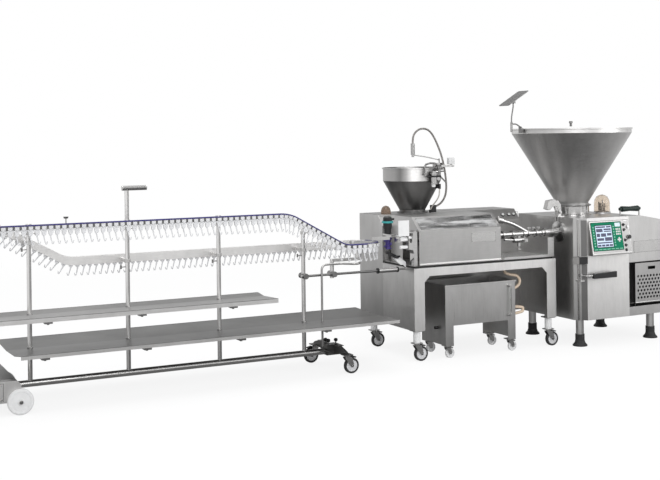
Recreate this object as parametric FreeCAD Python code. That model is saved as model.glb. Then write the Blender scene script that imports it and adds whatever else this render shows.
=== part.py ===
import FreeCAD, Part
import math
import os

os.makedirs("parts", exist_ok=True)

V = FreeCAD.Vector
X_DIR = V(1, 0, 0)
Y_DIR = V(0, 1, 0)
Z_DIR = V(0, 0, 1)

# Frame: +X along the line from the hook conveyor to the filler, -Y is the operator's side,
# +Z up, origin on the floor under the middle of the line. All sizes in millimetres.

# Gaps
SEAT_GAP = 0.3
RUN_CLEARANCE = 0.05

# Large castors, under the co-extruder and the conveyor
CASTOR_RADIUS = 62.5
CASTOR_WIDTH = 32.0
CASTOR_HEIGHT = 155.0
CASTOR_TRAIL = 38.0

# Small castors, under the tub cart
TUB_CASTOR_RADIUS = 42.5
TUB_CASTOR_WIDTH = 26.0
TUB_CASTOR_HEIGHT = 112.0
TUB_CASTOR_TRAIL = 27.0

# Conveyor
CONVEYOR_Y = -170.0
TURN_RADIUS = 165.0
TURN_LEFT_X = -2935.0
TURN_RIGHT_X = 15.0
TRACK_HIGH_Z = 1285.0
TRACK_LOW_Z = 1010.0
FRONT_RAIL_HEIGHT = 30.0
RETURN_RAIL_HEIGHT = 60.0
DESCENT_ANGLE = 29.0
DESCENT_TOP_RADIUS = 300.0
DESCENT_FOOT_RADIUS = 200.0
FRONT_DESCENT_X = -750.0
RETURN_DESCENT_X = -2925.0
LINK_COUNT = 150
LINK_WIDTH = 18.0
LINK_BODY_HEIGHT = 45.0
HOOK_REACH = 66.0
HOOK_THICKNESS = 6.0
BASE_TUBE_RADIUS = 25.0
BASE_TUBE_WALL = 3.0
BASE_TUBE_Z = 140.0
BASE_TUBE_RIGHT_X = -300.0
POST_RADIUS = 16.5
POST_WALL = 2.0
FIRST_POST_X = -2658.0
POST_PITCH = 725.0
POST_COUNT = 4
UPPER_TRAY_Z = 645.0
LOWER_TRAY_Z = 405.0
TRAY_SHEET = 2.5
BOX_TOP_Z = 245.0
BOX_FOOT_Z = 86.0
BOX_RIGHT_X = -2780.0
BOX_LEFT_X = -3120.0
BASE_TUBE_LEFT_X = BOX_RIGHT_X
BIG_WHEEL_RADIUS = 90.0
BIG_WHEEL_WIDTH = 34.0
BIG_WHEEL_X = -2790.0

# Co-extruder
TABLE_LEFT_X = 445.0
TABLE_RIGHT_X = 1905.0
TABLE_FRONT_Y = -355.0
CABINET_FRONT_Y = 175.0
CABINET_REAR_Y = 595.0
TABLE_TOP_Z = 780.0
CABINET_TOP_Z = 1190.0
LEG_FOOT_Z = 258.0
LEG_WIDTH = 100.0
RAIL_DEPTH = 70.0
GUSSET = 50.0
SHEET = 4.0
CONSOLE_LIP_Z = 1100.0
CONSOLE_SLOPE = 80.0
SPACER_RADIUS = 30.0
HOOD_LEFT_X = 515.0
HOOD_RIGHT_X = 1340.0
HOOD_FRONT_Y = -325.0
HOOD_FOOT_Z = TABLE_TOP_Z + 19.0 + SEAT_GAP
HOOD_SHOULDER_Z = 1085.0
HOOD_TOP_Z = 1196.0
HOOD_TOP_FRONT_Y = -200.0
HOOD_SHEET = 3.0
PIPE_Y = -280.0
PIPE_Z = 1008.0
PIPE_RADIUS = 25.0
SMALL_HOPPER_X = 875.0
SMALL_HOPPER_Y = 385.0
SMALL_HOPPER_RADIUS = 270.0
SMALL_HOPPER_RIM_Z = 1598.0
SMALL_HOPPER_CONE_Z = 1480.0
SMALL_HOPPER_NECK_RADIUS = 115.0

# Tub cart
TUB_LEFT_X = 745.0
TUB_RIGHT_X = 1462.0
TUB_FRONT_Y = -355.0
TUB_REAR_Y = 30.0
TUB_RIM_Z = 620.0
TUB_FLOOR_Z = 276.0
TUB_LEG_WIDTH = 80.0
TUB_SHEET = 3.0

# Filler
BODY_LEFT_X = 2005.0
BODY_RIGHT_X = 3120.0
BODY_FRONT_Y = -555.0
BODY_REAR_Y = 325.0
BODY_FOOT_Z = 240.0
BODY_TOP_Z = 1138.0
BODY_WALL = 6.0
CORNER_CUT_X = 90.0
CORNER_CUT_Y = 80.0
FOOT_X = (2100.0, 2915.0)
FOOT_Y = (-435.0, 255.0)
FOOT_TUBE_RADIUS = 35.0
FOOT_PAD_HEIGHT = 105.0
FOOT_PAD_TOP_RADIUS = 41.0
FOOT_PAD_BASE_RADIUS = 65.0
HOPPER_X = 2295.0
HOPPER_Y = -105.0
HOPPER_RADIUS = 550.0
HOPPER_RIM_Z = 1935.0
HOPPER_BAND = 45.0
HOPPER_SHEET = 4.0
NECK_RADIUS = 155.0
NECK_TOP_Z = 1235.0
RECESS_LEFT_X = 2568.0
RECESS_RIGHT_X = 3045.0
RECESS_FOOT_Z = 320.0
RECESS_TOP_Z = 720.0
RECESS_DEPTH = 190.0
STEP_LEFT_X = 2650.0
STEP_RIGHT_X = 3035.0


def box(low, high):
    return Part.makeBox(high[0] - low[0], high[1] - low[1], high[2] - low[2], V(*low))


def rod(start, end, radius):
    path = V(*end) - V(*start)
    return Part.makeCylinder(radius, path.Length, V(*start), path)


def pipe(start, end, radius, wall):
    return rod(start, end, radius).cut(rod(start, end, radius - wall))


def fuse(shapes):
    return shapes[0].multiFuse(shapes[1:]).removeSplitter()


def revolve(profile, centre, axis=Z_DIR, angle=360.0):
    """Solid of a closed (radius, height) profile turned about a vertical line through centre."""
    points = [V(centre[0] + r, centre[1], centre[2] + h) for r, h in profile]
    face = Part.Face(Part.makePolygon(points + points[:1]))
    return face.revolve(V(*centre), axis, angle)


def prism_x(outline, x_low, x_high):
    points = [V(x_low, y, z) for y, z in outline]
    return Part.Face(Part.makePolygon(points + points[:1])).extrude(V(x_high - x_low, 0, 0))


def prism_y(outline, y_low, y_high):
    points = [V(x, y_low, z) for x, z in outline]
    return Part.Face(Part.makePolygon(points + points[:1])).extrude(V(0, y_high - y_low, 0))


def prism_z(outline, z_low, z_high):
    points = [V(x, y, z_low) for x, y in outline]
    return Part.Face(Part.makePolygon(points + points[:1])).extrude(V(0, 0, z_high - z_low))


def bent_rod(points, radius, bend_radius=None):
    """Round bar or hose along straight runs joined by tangent arcs."""
    pts = [V(*p) for p in points]
    pieces = []
    start = pts[0]
    for before, corner, after in zip(pts, pts[1:], pts[2:]):
        into = (corner - before).normalize()
        out = (after - corner).normalize()
        half_turn = into.getAngle(out) / 2.0
        shorter = min((corner - before).Length, (after - corner).Length)
        arc_radius = bend_radius or 0.45 * shorter / math.tan(half_turn)
        reach = arc_radius * math.tan(half_turn)
        first = corner - into * reach
        last = corner + out * reach
        inward = (out - into).normalize()
        middle = corner + inward * (arc_radius / math.cos(half_turn) - arc_radius)
        pieces.append(Part.makeLine(start, first))
        pieces.append(Part.Arc(first, middle, last).toShape())
        start = last
    pieces.append(Part.makeLine(start, pts[-1]))
    wire = Part.Wire(pieces)
    circle = Part.Wire(Part.makeCircle(radius, pts[0], pts[1] - pts[0]))
    return wire.makePipeShell([circle], True, False)


def export(name, shape):
    shape.exportStep(os.path.join("parts", name + ".step"))


def castor_wheel(contact, radius, width):
    """Tyre and disc of one castor wheel, turning about Y over its floor contact."""
    half = width / 2.0
    crown = radius - 3.0
    hub = 9.0
    profile = [(4.0 + RUN_CLEARANCE, -half - 2), (hub, -half - 2), (hub + 4, -half + 5),
               (radius * 0.72, -half + 5), (radius * 0.76, -half), (crown, -half), (radius, -half + 5),
               (radius, half - 5), (crown, half), (radius * 0.76, half), (radius * 0.72, half - 5),
               (hub + 4, half - 5), (hub, half + 2), (4.0 + RUN_CLEARANCE, half + 2)]
    wheel = revolve(profile, (0, 0, 0))
    wheel.rotate(V(0, 0, 0), X_DIR, 90)
    wheel.translate(V(contact[0], contact[1], radius))
    return wheel


def castor_fork(swivel, heading, radius, width, height, trail):
    """Sheet fork with axle bolt, brake pedal and swivel head below the mounting plate."""
    ear_gap = width / 2.0 + 3.5
    ear = 3.0
    top = height - 8.0 - SEAT_GAP
    crown_z = 2 * radius + 6.0
    axle = (trail, radius)
    outline = [(axle[0] - 10, axle[1] - 8), (axle[0] + 10, axle[1] - 8), (axle[0] + 14, axle[1] + 10),
               (radius * 0.55, crown_z + ear), (-radius * 0.45, crown_z + ear), (-radius * 0.3, crown_z - 14)]
    ears = [prism_y(outline, ear_gap, ear_gap + ear), prism_y(outline, -ear_gap - ear, -ear_gap)]
    bridge = box((-radius * 0.42, -ear_gap - ear, crown_z), (radius * 0.52, ear_gap + ear, crown_z + ear))
    head = Part.makeCylinder(radius * 0.34, top - crown_z, V(0, 0, crown_z))
    bolt = Part.makeCylinder(4.0, 2 * (ear_gap + ear) + 8, V(axle[0], -ear_gap - ear - 4, axle[1]), Y_DIR)
    pedal = prism_y([(radius * 0.5, crown_z - 2), (radius * 1.15, crown_z - 10), (radius * 1.3, crown_z - 2),
                     (radius * 0.62, crown_z + 10)], -12, 12)
    fork = fuse(ears + [bridge, head, bolt, pedal])
    fork.rotate(V(0, 0, 0), Z_DIR, heading)
    fork.translate(V(swivel[0], swivel[1], 0))
    return fork


def wheel_contact(swivel, heading, trail):
    turn = math.radians(heading)
    return (swivel[0] + trail * math.cos(turn), swivel[1] + trail * math.sin(turn))


CASTORS = {
    "table_front_left": ((495.0, -300.0), 0.0),
    "table_rear_left": ((495.0, 440.0), 0.0),
    "table_front_right": ((1855.0, -300.0), 0.0),
    "table_rear_right": ((1855.0, 440.0), 0.0),
    "conveyor_front": ((-235.0, -438.0), 0.0),
    "conveyor_rear": ((-257.0, 98.0), 180.0),
}
TUB_CASTORS = {
    "tub_front_left": ((782.0, -315.0), 0.0),
    "tub_rear_left": ((782.0, -10.0), 0.0),
    "tub_front_right": ((1425.0, -315.0), 0.0),
    "tub_rear_right": ((1425.0, -10.0), 0.0),
}


def castors():
    for name, (swivel, heading) in CASTORS.items():
        fork = castor_fork(swivel, heading, CASTOR_RADIUS, CASTOR_WIDTH, CASTOR_HEIGHT, CASTOR_TRAIL)
        wheel = castor_wheel(wheel_contact(swivel, heading, CASTOR_TRAIL), CASTOR_RADIUS, CASTOR_WIDTH)
        export(name + "_fork", fork)
        export(name + "_wheel", wheel)
    for name, (swivel, heading) in TUB_CASTORS.items():
        contact = wheel_contact(swivel, heading, TUB_CASTOR_TRAIL)
        export(name + "_wheel", castor_wheel(contact, TUB_CASTOR_RADIUS, TUB_CASTOR_WIDTH))


def descent_sizes():
    """Lengths and drops of the two bends and the straight slope between high and low track."""
    angle = math.radians(DESCENT_ANGLE)
    top_dx = DESCENT_TOP_RADIUS * math.sin(angle)
    top_dz = DESCENT_TOP_RADIUS * (1 - math.cos(angle))
    foot_dx = DESCENT_FOOT_RADIUS * math.sin(angle)
    foot_dz = DESCENT_FOOT_RADIUS * (1 - math.cos(angle))
    slope_dz = TRACK_HIGH_Z - TRACK_LOW_Z - top_dz - foot_dz
    slope_dx = slope_dz / math.tan(angle)
    return angle, top_dx, top_dz, slope_dx, slope_dz, foot_dx


def track_z(x, descent_x):
    """Height of the top of the track at x, where the descent starts at descent_x."""
    angle, top_dx, top_dz, slope_dx, slope_dz, foot_dx = descent_sizes()
    along = x - descent_x
    to_foot = top_dx + slope_dx + foot_dx - along
    if along <= 0:
        return TRACK_HIGH_Z
    if along <= top_dx:
        return TRACK_HIGH_Z - DESCENT_TOP_RADIUS + math.sqrt(DESCENT_TOP_RADIUS ** 2 - along ** 2)
    if to_foot >= foot_dx:
        return TRACK_HIGH_Z - top_dz - (along - top_dx) * math.tan(angle)
    if to_foot > 0:
        return TRACK_LOW_Z + DESCENT_FOOT_RADIUS - math.sqrt(DESCENT_FOOT_RADIUS ** 2 - to_foot ** 2)
    return TRACK_LOW_Z


def run_edges(y, descent_x, drop, x_left=TURN_LEFT_X, x_right=TURN_RIGHT_X):
    """Edges of one run seen from the side, from x_left to x_right, at a given drop below its top."""
    angle, top_dx, top_dz, slope_dx, slope_dz, foot_dx = descent_sizes()
    corner_x = [descent_x, descent_x + top_dx, descent_x + top_dx + slope_dx,
                descent_x + top_dx + slope_dx + foot_dx]

    def at(x):
        return V(x, y, track_z(x, descent_x) - drop)

    edges = []
    if descent_x > x_left:
        edges.append(Part.makeLine(at(x_left), at(corner_x[0])))
    edges.append(Part.Arc(at(corner_x[0]), at(corner_x[0] + top_dx / 2), at(corner_x[1])).toShape())
    edges.append(Part.makeLine(at(corner_x[1]), at(corner_x[2])))
    edges.append(Part.Arc(at(corner_x[2]), at(corner_x[2] + foot_dx / 2), at(corner_x[3])).toShape())
    edges.append(Part.makeLine(at(corner_x[3]), at(x_right)))
    return edges


def run_band(y_low, y_high, descent_x, drop_top, drop_foot):
    """Band that follows one run, drop_top to drop_foot below the top of the track."""
    top = run_edges(y_low, descent_x, drop_top)
    foot = run_edges(y_low, descent_x, drop_foot)
    left = Part.makeLine(top[0].Vertexes[0].Point, foot[0].Vertexes[0].Point)
    right = Part.makeLine(top[-1].Vertexes[-1].Point, foot[-1].Vertexes[-1].Point)
    wire = Part.Wire(Part.__sortEdges__(top + [right] + foot + [left]))
    return Part.Face(wire).extrude(V(0, y_high - y_low, 0))


RAIL_WIDTH = 22.0
CHAIN_DROP = FRONT_RAIL_HEIGHT + SEAT_GAP
LINK_SAG = 1.8
FRONT_RUN_Y = CONVEYOR_Y - TURN_RADIUS
RETURN_RUN_Y = CONVEYOR_Y + TURN_RADIUS


def turn_band(x, z_top, side, inner, outer, height):
    """Half ring round the end of the track; side is -1 at the left end and 1 at the right."""
    profile = [(inner, -height), (outer, -height), (outer, 0), (inner, 0)]
    ring = revolve(profile, (x, CONVEYOR_Y, z_top), Z_DIR, 180.0)
    ring.rotate(V(x, CONVEYOR_Y, z_top), Z_DIR, -90.0 * side)
    return ring


def foot_relief(y_low, y_high, descent_x):
    """Thin slice off the underside of the foot bend, where the straight links cut the curve."""
    angle, top_dx, top_dz, slope_dx, slope_dz, foot_dx = descent_sizes()
    end = descent_x + top_dx + slope_dx + foot_dx
    centre = V(end, y_low, TRACK_LOW_Z + DESCENT_FOOT_RADIUS - FRONT_RAIL_HEIGHT)
    width = y_high - y_low
    ring = Part.makeCylinder(DESCENT_FOOT_RADIUS + 1, width, centre, Y_DIR)
    ring = ring.cut(Part.makeCylinder(DESCENT_FOOT_RADIUS - LINK_SAG, width, centre, Y_DIR))
    return ring.common(box((end - foot_dx - 22, y_low, TRACK_LOW_Z - 60),
                           (end + 22, y_high, TRACK_LOW_Z + 60)))


def guide_rails():
    half = RAIL_WIDTH / 2
    front = run_band(FRONT_RUN_Y - half, FRONT_RUN_Y + half, FRONT_DESCENT_X, 0, FRONT_RAIL_HEIGHT)
    ends = [turn_band(TURN_LEFT_X, TRACK_HIGH_Z, -1, TURN_RADIUS - half, TURN_RADIUS + half,
                      FRONT_RAIL_HEIGHT),
            turn_band(TURN_RIGHT_X, TRACK_LOW_Z, 1, TURN_RADIUS - half, TURN_RADIUS + half,
                      FRONT_RAIL_HEIGHT)]
    bar = run_band(RETURN_RUN_Y - half, RETURN_RUN_Y + half, RETURN_DESCENT_X, 0, FRONT_RAIL_HEIGHT)
    skirt_y = RETURN_RUN_Y - half
    skirt = run_band(skirt_y - 3, skirt_y, RETURN_DESCENT_X, 0, RETURN_RAIL_HEIGHT)
    for x, z_top in ((TURN_LEFT_X, TRACK_HIGH_Z), (TURN_RIGHT_X, TRACK_LOW_Z)):
        skirt = skirt.cut(Part.makeCylinder(WHEEL_EDGE + 1, 60, V(x, CONVEYOR_Y, z_top - 90)))
    front = front.cut(foot_relief(FRONT_RUN_Y - half, FRONT_RUN_Y + half, FRONT_DESCENT_X))
    bar = bar.cut(foot_relief(RETURN_RUN_Y - half, RETURN_RUN_Y + half, RETURN_DESCENT_X))
    export("guide_rails", fuse([front, bar, skirt] + ends))
    strips = [run_band(FRONT_RUN_Y - 5, FRONT_RUN_Y + 5, FRONT_DESCENT_X, -4, 0),
              run_band(RETURN_RUN_Y - 5, RETURN_RUN_Y + 5, RETURN_DESCENT_X, -4, 0),
              turn_band(TURN_LEFT_X, TRACK_HIGH_Z + 4, -1, TURN_RADIUS - 5, TURN_RADIUS + 5, 4),
              turn_band(TURN_RIGHT_X, TRACK_LOW_Z + 4, 1, TURN_RADIUS - 5, TURN_RADIUS + 5, 4)]
    export("wear_strip", fuse(strips))


def chain_path():
    """Closed wire through the hinges at the top of the chain."""
    front = run_edges(FRONT_RUN_Y, FRONT_DESCENT_X, CHAIN_DROP)
    back = run_edges(RETURN_RUN_Y, RETURN_DESCENT_X, CHAIN_DROP)
    left = Part.Arc(V(TURN_LEFT_X, RETURN_RUN_Y, TRACK_HIGH_Z - CHAIN_DROP),
                    V(TURN_LEFT_X - TURN_RADIUS, CONVEYOR_Y, TRACK_HIGH_Z - CHAIN_DROP),
                    V(TURN_LEFT_X, FRONT_RUN_Y, TRACK_HIGH_Z - CHAIN_DROP)).toShape()
    right = Part.Arc(V(TURN_RIGHT_X, FRONT_RUN_Y, TRACK_LOW_Z - CHAIN_DROP),
                     V(TURN_RIGHT_X + TURN_RADIUS, CONVEYOR_Y, TRACK_LOW_Z - CHAIN_DROP),
                     V(TURN_RIGHT_X, RETURN_RUN_Y, TRACK_LOW_Z - CHAIN_DROP)).toShape()
    return Part.Wire(Part.__sortEdges__(front + [right] + back + [left]))


def hook_link(pitch):
    """One carrier: forked body, tongue into the next fork, and the hook below it."""
    half = LINK_WIDTH / 2
    tongue_half = 3.5
    fork_half = tongue_half + 1.0
    lobe = 5.0
    body = prism_y([(lobe + 1, 0), (pitch - lobe - 1, 0), (pitch - lobe - 1, -14), (pitch - 12, -38),
                    (pitch - 18, -LINK_BODY_HEIGHT), (13, -LINK_BODY_HEIGHT), (9, -38), (lobe + 1, -14)],
                   -half, half)
    tongue = prism_y([(pitch - lobe - 1, -1), (pitch + 2, -1), (pitch + lobe, -4), (pitch + lobe, -8),
                      (pitch + 2, -11), (pitch - lobe - 1, -11)], -tongue_half, tongue_half)
    cheek = [(lobe + 1, -1), (-2, -1), (-lobe, -4), (-lobe, -8), (-2, -11), (lobe + 1, -11)]
    fork = [prism_y(cheek, -half, -fork_half), prism_y(cheek, fork_half, half)]
    foot = LINK_BODY_HEIGHT + HOOK_REACH
    hook = prism_y([(14, -LINK_BODY_HEIGHT + 1), (24, -LINK_BODY_HEIGHT + 1), (34, 12 - foot), (38, 9 - foot),
                    (44, 24 - foot), (48, 22 - foot), (44, 5 - foot), (38, -foot), (31, 2 - foot)],
                   -HOOK_THICKNESS / 2, HOOK_THICKNESS / 2)
    return fuse([body, tongue, hook] + fork)


def hook_chain():
    hinges = chain_path().discretize(Number=LINK_COUNT + 1)
    pitch = max((b - a).Length for a, b in zip(hinges, hinges[1:]))
    link = hook_link(pitch)
    links = []
    for start, end in zip(hinges, hinges[1:]):
        along = (end - start).normalize()
        across = V(-along.y, along.x, 0).normalize()
        up = along.cross(across)
        carrier = link.copy()
        carrier.Placement = FreeCAD.Placement(start, FreeCAD.Rotation(along, across, up, "XYZ"))
        links.append(carrier)
    export("hook_chain", Part.makeCompound(links))


WHEEL_EDGE = TURN_RADIUS - LINK_WIDTH / 2 - 2.0
TURN_SHAFT_RADIUS = 12.0


def turn_wheel(x, z_top):
    """Spoked disc that carries the chain round one end of the track, with its shaft."""
    mid = z_top - CHAIN_DROP - 22
    rim = revolve([(WHEEL_EDGE - 22, -9), (WHEEL_EDGE, -9), (WHEEL_EDGE, 9), (WHEEL_EDGE - 22, 9)],
                  (x, CONVEYOR_Y, mid))
    hub = Part.makeCylinder(30, 26, V(x, CONVEYOR_Y, mid - 13))
    shaft = Part.makeCylinder(TURN_SHAFT_RADIUS, 92, V(x, CONVEYOR_Y, mid - 72 + SEAT_GAP))
    spokes = []
    for number in range(6):
        spoke = box((x + 24, CONVEYOR_Y - 8, mid - 5), (x + WHEEL_EDGE - 18, CONVEYOR_Y + 8, mid + 5))
        spoke.rotate(V(x, CONVEYOR_Y, mid), Z_DIR, 60.0 * number)
        spokes.append(spoke)
    return fuse([rim, hub, shaft] + spokes)


def bearing_block(x, z_top):
    """Bearing housing below a turn wheel, with the running bore for its shaft."""
    mid = z_top - CHAIN_DROP - 22
    top = mid - 13 - SEAT_GAP
    bore = Part.makeCylinder(TURN_SHAFT_RADIUS + RUN_CLEARANCE, 70, V(x, CONVEYOR_Y, mid - 72))
    housing = Part.makeCylinder(28, top - (mid - 72), V(x, CONVEYOR_Y, mid - 72))
    return housing.cut(bore), mid - 72


COLUMN_RADIUS = 30.0


def turn_ends():
    export("left_turn_wheel", turn_wheel(TURN_LEFT_X, TRACK_HIGH_Z))
    export("right_turn_wheel", turn_wheel(TURN_RIGHT_X, TRACK_LOW_Z))
    block, block_z = bearing_block(TURN_LEFT_X, TRACK_HIGH_Z)
    column = pipe((TURN_LEFT_X, CONVEYOR_Y, BOX_TOP_Z), (TURN_LEFT_X, CONVEYOR_Y, block_z - 12),
                  COLUMN_RADIUS, 3)
    cap = Part.makeCylinder(34, 12, V(TURN_LEFT_X, CONVEYOR_Y, block_z - 12))
    flange = Part.makeCylinder(60, 10, V(TURN_LEFT_X, CONVEYOR_Y, BOX_TOP_Z))
    return fuse([column, cap, flange.cut(rod((TURN_LEFT_X, CONVEYOR_Y, BOX_TOP_Z - 1),
                                             (TURN_LEFT_X, CONVEYOR_Y, BOX_TOP_Z + 11), 27)), block])


POST_X = [FIRST_POST_X + POST_PITCH * number for number in range(POST_COUNT)]
HANDLE_POST_X = POST_X[1]
HANDLE_Z = 1500.0
HANDLE_BAR_RADIUS = 18.0
END_POST_X = -225.0
END_POST_FOOT_Z = 730.0
LINK_ROD_Z = 765.0
LINK_ROD_RADIUS = 10.0
DOCK_LEFT_X = 180.0
DOCK_RIGHT_X = 378.0
DOCK_RADIUS = 23.0
CROSS_X = -245.0
PLATE_TOP = CASTOR_HEIGHT
ARM_HEIGHT = 20.0


def post(x, foot_z, top_z):
    return pipe((x, CONVEYOR_Y, foot_z), (x, CONVEYOR_Y, top_z), POST_RADIUS, POST_WALL)


def uprights():
    """Posts on the base tube, with arms to both runs of the track."""
    saddle = rod((BASE_TUBE_LEFT_X, CONVEYOR_Y, BASE_TUBE_Z), (BASE_TUBE_RIGHT_X, CONVEYOR_Y, BASE_TUBE_Z),
                 BASE_TUBE_RADIUS)
    half = RAIL_WIDTH / 2
    pieces = []
    for x in POST_X:
        front_z = track_z(x, FRONT_DESCENT_X) - 6
        back_z = track_z(x, RETURN_DESCENT_X) - 34
        top = HANDLE_Z if x == HANDLE_POST_X else front_z
        bore = rod((x, CONVEYOR_Y, BASE_TUBE_Z), (x, CONVEYOR_Y, top - 6), POST_RADIUS - POST_WALL)
        front_arm = box((x - 14, FRONT_RUN_Y + half, front_z - ARM_HEIGHT), (x + 14, CONVEYOR_Y, front_z))
        back_arm = box((x - 14, CONVEYOR_Y, back_z - ARM_HEIGHT / 2),
                       (x + 14, RETURN_RUN_Y - half - 3, back_z + ARM_HEIGHT / 2))
        collar = Part.makeCylinder(POST_RADIUS + 6, 30, V(x, CONVEYOR_Y, front_z - 26))
        solid = rod((x, CONVEYOR_Y, BASE_TUBE_Z), (x, CONVEYOR_Y, top), POST_RADIUS)
        pieces.append(fuse([solid, front_arm, back_arm, collar]).cut(bore).cut(saddle))
    return pieces


def tray_underside(y, front_y, rear_y, z):
    """Height of a tray's sloped underside at y."""
    edge = front_y + TRAY_SHEET if y < CONVEYOR_Y else rear_y - TRAY_SHEET
    return z - TRAY_SHEET - VALLEY_DEPTH * (y - edge) / (CONVEYOR_Y - edge)


def tray_arms():
    """Flat bars that carry the two trays, each with a clamp collar on its post."""
    bars = []
    for x in POST_X:
        for tray_z, front_y, rear_y in ((LOWER_TRAY_Z, LOWER_TRAY_FRONT_Y, LOWER_TRAY_REAR_Y),
                                        (UPPER_TRAY_Z, UPPER_TRAY_FRONT_Y, UPPER_TRAY_REAR_Y)):
            if tray_z == UPPER_TRAY_Z and x > UPPER_TRAY_RIGHT_X:
                continue
            top = tray_z - TRAY_SHEET - VALLEY_DEPTH
            bar = box((x - 12, front_y + 14, top - 12), (x + 12, rear_y - 14, top))
            collar = Part.makeCylinder(POST_RADIUS + 9, 34, V(x, CONVEYOR_Y, top - 34))
            bore = rod((x, CONVEYOR_Y, top - 40), (x, CONVEYOR_Y, top + 10), POST_RADIUS)
            rests = []
            for y in (front_y + 14, rear_y - 30):
                near = tray_underside(y, front_y, rear_y, tray_z)
                far = tray_underside(y + 16, front_y, rear_y, tray_z)
                outline = [(y, top - 1), (y, near), (y + 16, far), (y + 16, top - 1)]
                rests.append(prism_x(outline, x - 12, x + 12))
            bars.append(fuse([bar, collar] + rests).cut(bore))
    return bars


LOWER_TRAY_LEFT_X = -2825.0
LOWER_TRAY_RIGHT_X = 200.0
LOWER_TRAY_FRONT_Y = -530.0
LOWER_TRAY_REAR_Y = 225.0
UPPER_TRAY_LEFT_X = -2990.0
UPPER_TRAY_RIGHT_X = -830.0
UPPER_TRAY_FRONT_Y = -455.0
UPPER_TRAY_REAR_Y = -55.0
VALLEY_DEPTH = 14.0


def tray(x_left, x_right, front_y, rear_y, z, flange):
    """Bent sheet tray with turned-down edges and a shallow valley along the posts."""
    t = TRAY_SHEET
    outline = [(front_y, z - flange), (front_y + t, z - flange), (front_y + t, z - t),
               (CONVEYOR_Y, z - t - VALLEY_DEPTH), (rear_y - t, z - t), (rear_y - t, z - flange),
               (rear_y, z - flange), (rear_y, z), (CONVEYOR_Y, z - VALLEY_DEPTH), (front_y, z)]
    sheet = prism_x(outline, x_left, x_right)
    for x in POST_X:
        sheet = sheet.cut(rod((x, CONVEYOR_Y, z - 60), (x, CONVEYOR_Y, z + 20), POST_RADIUS + 1))
    for x, y, radius in ((TURN_LEFT_X, CONVEYOR_Y, COLUMN_RADIUS), (BOW_X, BOW_Y, BOW_RADIUS)):
        sheet = sheet.cut(rod((x, y, z - 60), (x, y, z + 20), radius + 1))
    return sheet


def trays():
    lower = tray(LOWER_TRAY_LEFT_X, LOWER_TRAY_RIGHT_X, LOWER_TRAY_FRONT_Y, LOWER_TRAY_REAR_Y,
                 LOWER_TRAY_Z, 27)
    corner = prism_z([(LOWER_TRAY_LEFT_X - 1, LOWER_TRAY_FRONT_Y - 1), (LOWER_TRAY_LEFT_X + 38,
                      LOWER_TRAY_FRONT_Y - 1), (LOWER_TRAY_LEFT_X - 1, LOWER_TRAY_FRONT_Y + 50)],
                     LOWER_TRAY_Z - 40, LOWER_TRAY_Z + 5)
    upper = tray(UPPER_TRAY_LEFT_X, UPPER_TRAY_RIGHT_X, UPPER_TRAY_FRONT_Y, UPPER_TRAY_REAR_Y,
                 UPPER_TRAY_Z, 33)
    export("trays", Part.makeCompound([lower.cut(corner), upper]))


def conveyor_frame():
    posts = uprights()
    base = pipe((BASE_TUBE_LEFT_X, CONVEYOR_Y, BASE_TUBE_Z), (BASE_TUBE_RIGHT_X, CONVEYOR_Y, BASE_TUBE_Z),
                BASE_TUBE_RADIUS, BASE_TUBE_WALL)
    bar = rod((HANDLE_POST_X - 32, CONVEYOR_Y, HANDLE_Z + HANDLE_BAR_RADIUS),
              (HANDLE_POST_X + 150, CONVEYOR_Y, HANDLE_Z + HANDLE_BAR_RADIUS), HANDLE_BAR_RADIUS)
    neck = rod((HANDLE_POST_X, CONVEYOR_Y, HANDLE_Z), (HANDLE_POST_X, CONVEYOR_Y, HANDLE_Z + 8),
               POST_RADIUS)
    handle = fuse([bar, neck])
    export("conveyor_frame", Part.makeCompound(posts + tray_arms() + [base, handle, end_support(),
                                                                      docking_rod()]))
    export("cross_member", Part.makeCompound([cross_member(), guard_bow()]))


def cross_member():
    """Hub block on the end of the base tube, with a folded wing down to each castor."""
    hub = box((CROSS_X - 55, CONVEYOR_Y - 45, 112), (CROSS_X + 55, CONVEYOR_Y + 45, 196))
    wings = []
    for swivel in (CASTORS["conveyor_front"][0], CASTORS["conveyor_rear"][0]):
        side = -1 if swivel[1] < CONVEYOR_Y else 1
        near = CONVEYOR_Y + side * 40
        web = [(near, 118), (near, 206), (near + side * 120, 206), (swivel[1], 176),
               (swivel[1] + side * 34, PLATE_TOP), (swivel[1] - side * 30, PLATE_TOP - 8),
               (near + side * 70, 130)]
        wings.append(prism_x(web, swivel[0] - 4, swivel[0] + 4))
        wings.append(box((swivel[0] - 38, swivel[1] - 38, PLATE_TOP - 8),
                         (swivel[0] + 38, swivel[1] + 38, PLATE_TOP)))
        low_y = min(near, near + side * 120)
        wings.append(box((swivel[0] - 28, low_y, 200), (swivel[0] + 28, low_y + 120, 206)))
    tops = []
    for x, y in ((CROSS_X - 34, CONVEYOR_Y + 26), (CROSS_X - 34, CONVEYOR_Y - 26),
                 (CROSS_X + 34, CONVEYOR_Y - 26)):
        stud = Part.makeCylinder(5, 26, V(x, y, 196))
        knob = revolve([(0, 0), (9, 0), (16, 8), (16, 20), (10, 26), (0, 26)], (x, y, 216))
        tops += [stud, knob]
    return fuse([hub] + wings + tops)


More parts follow.
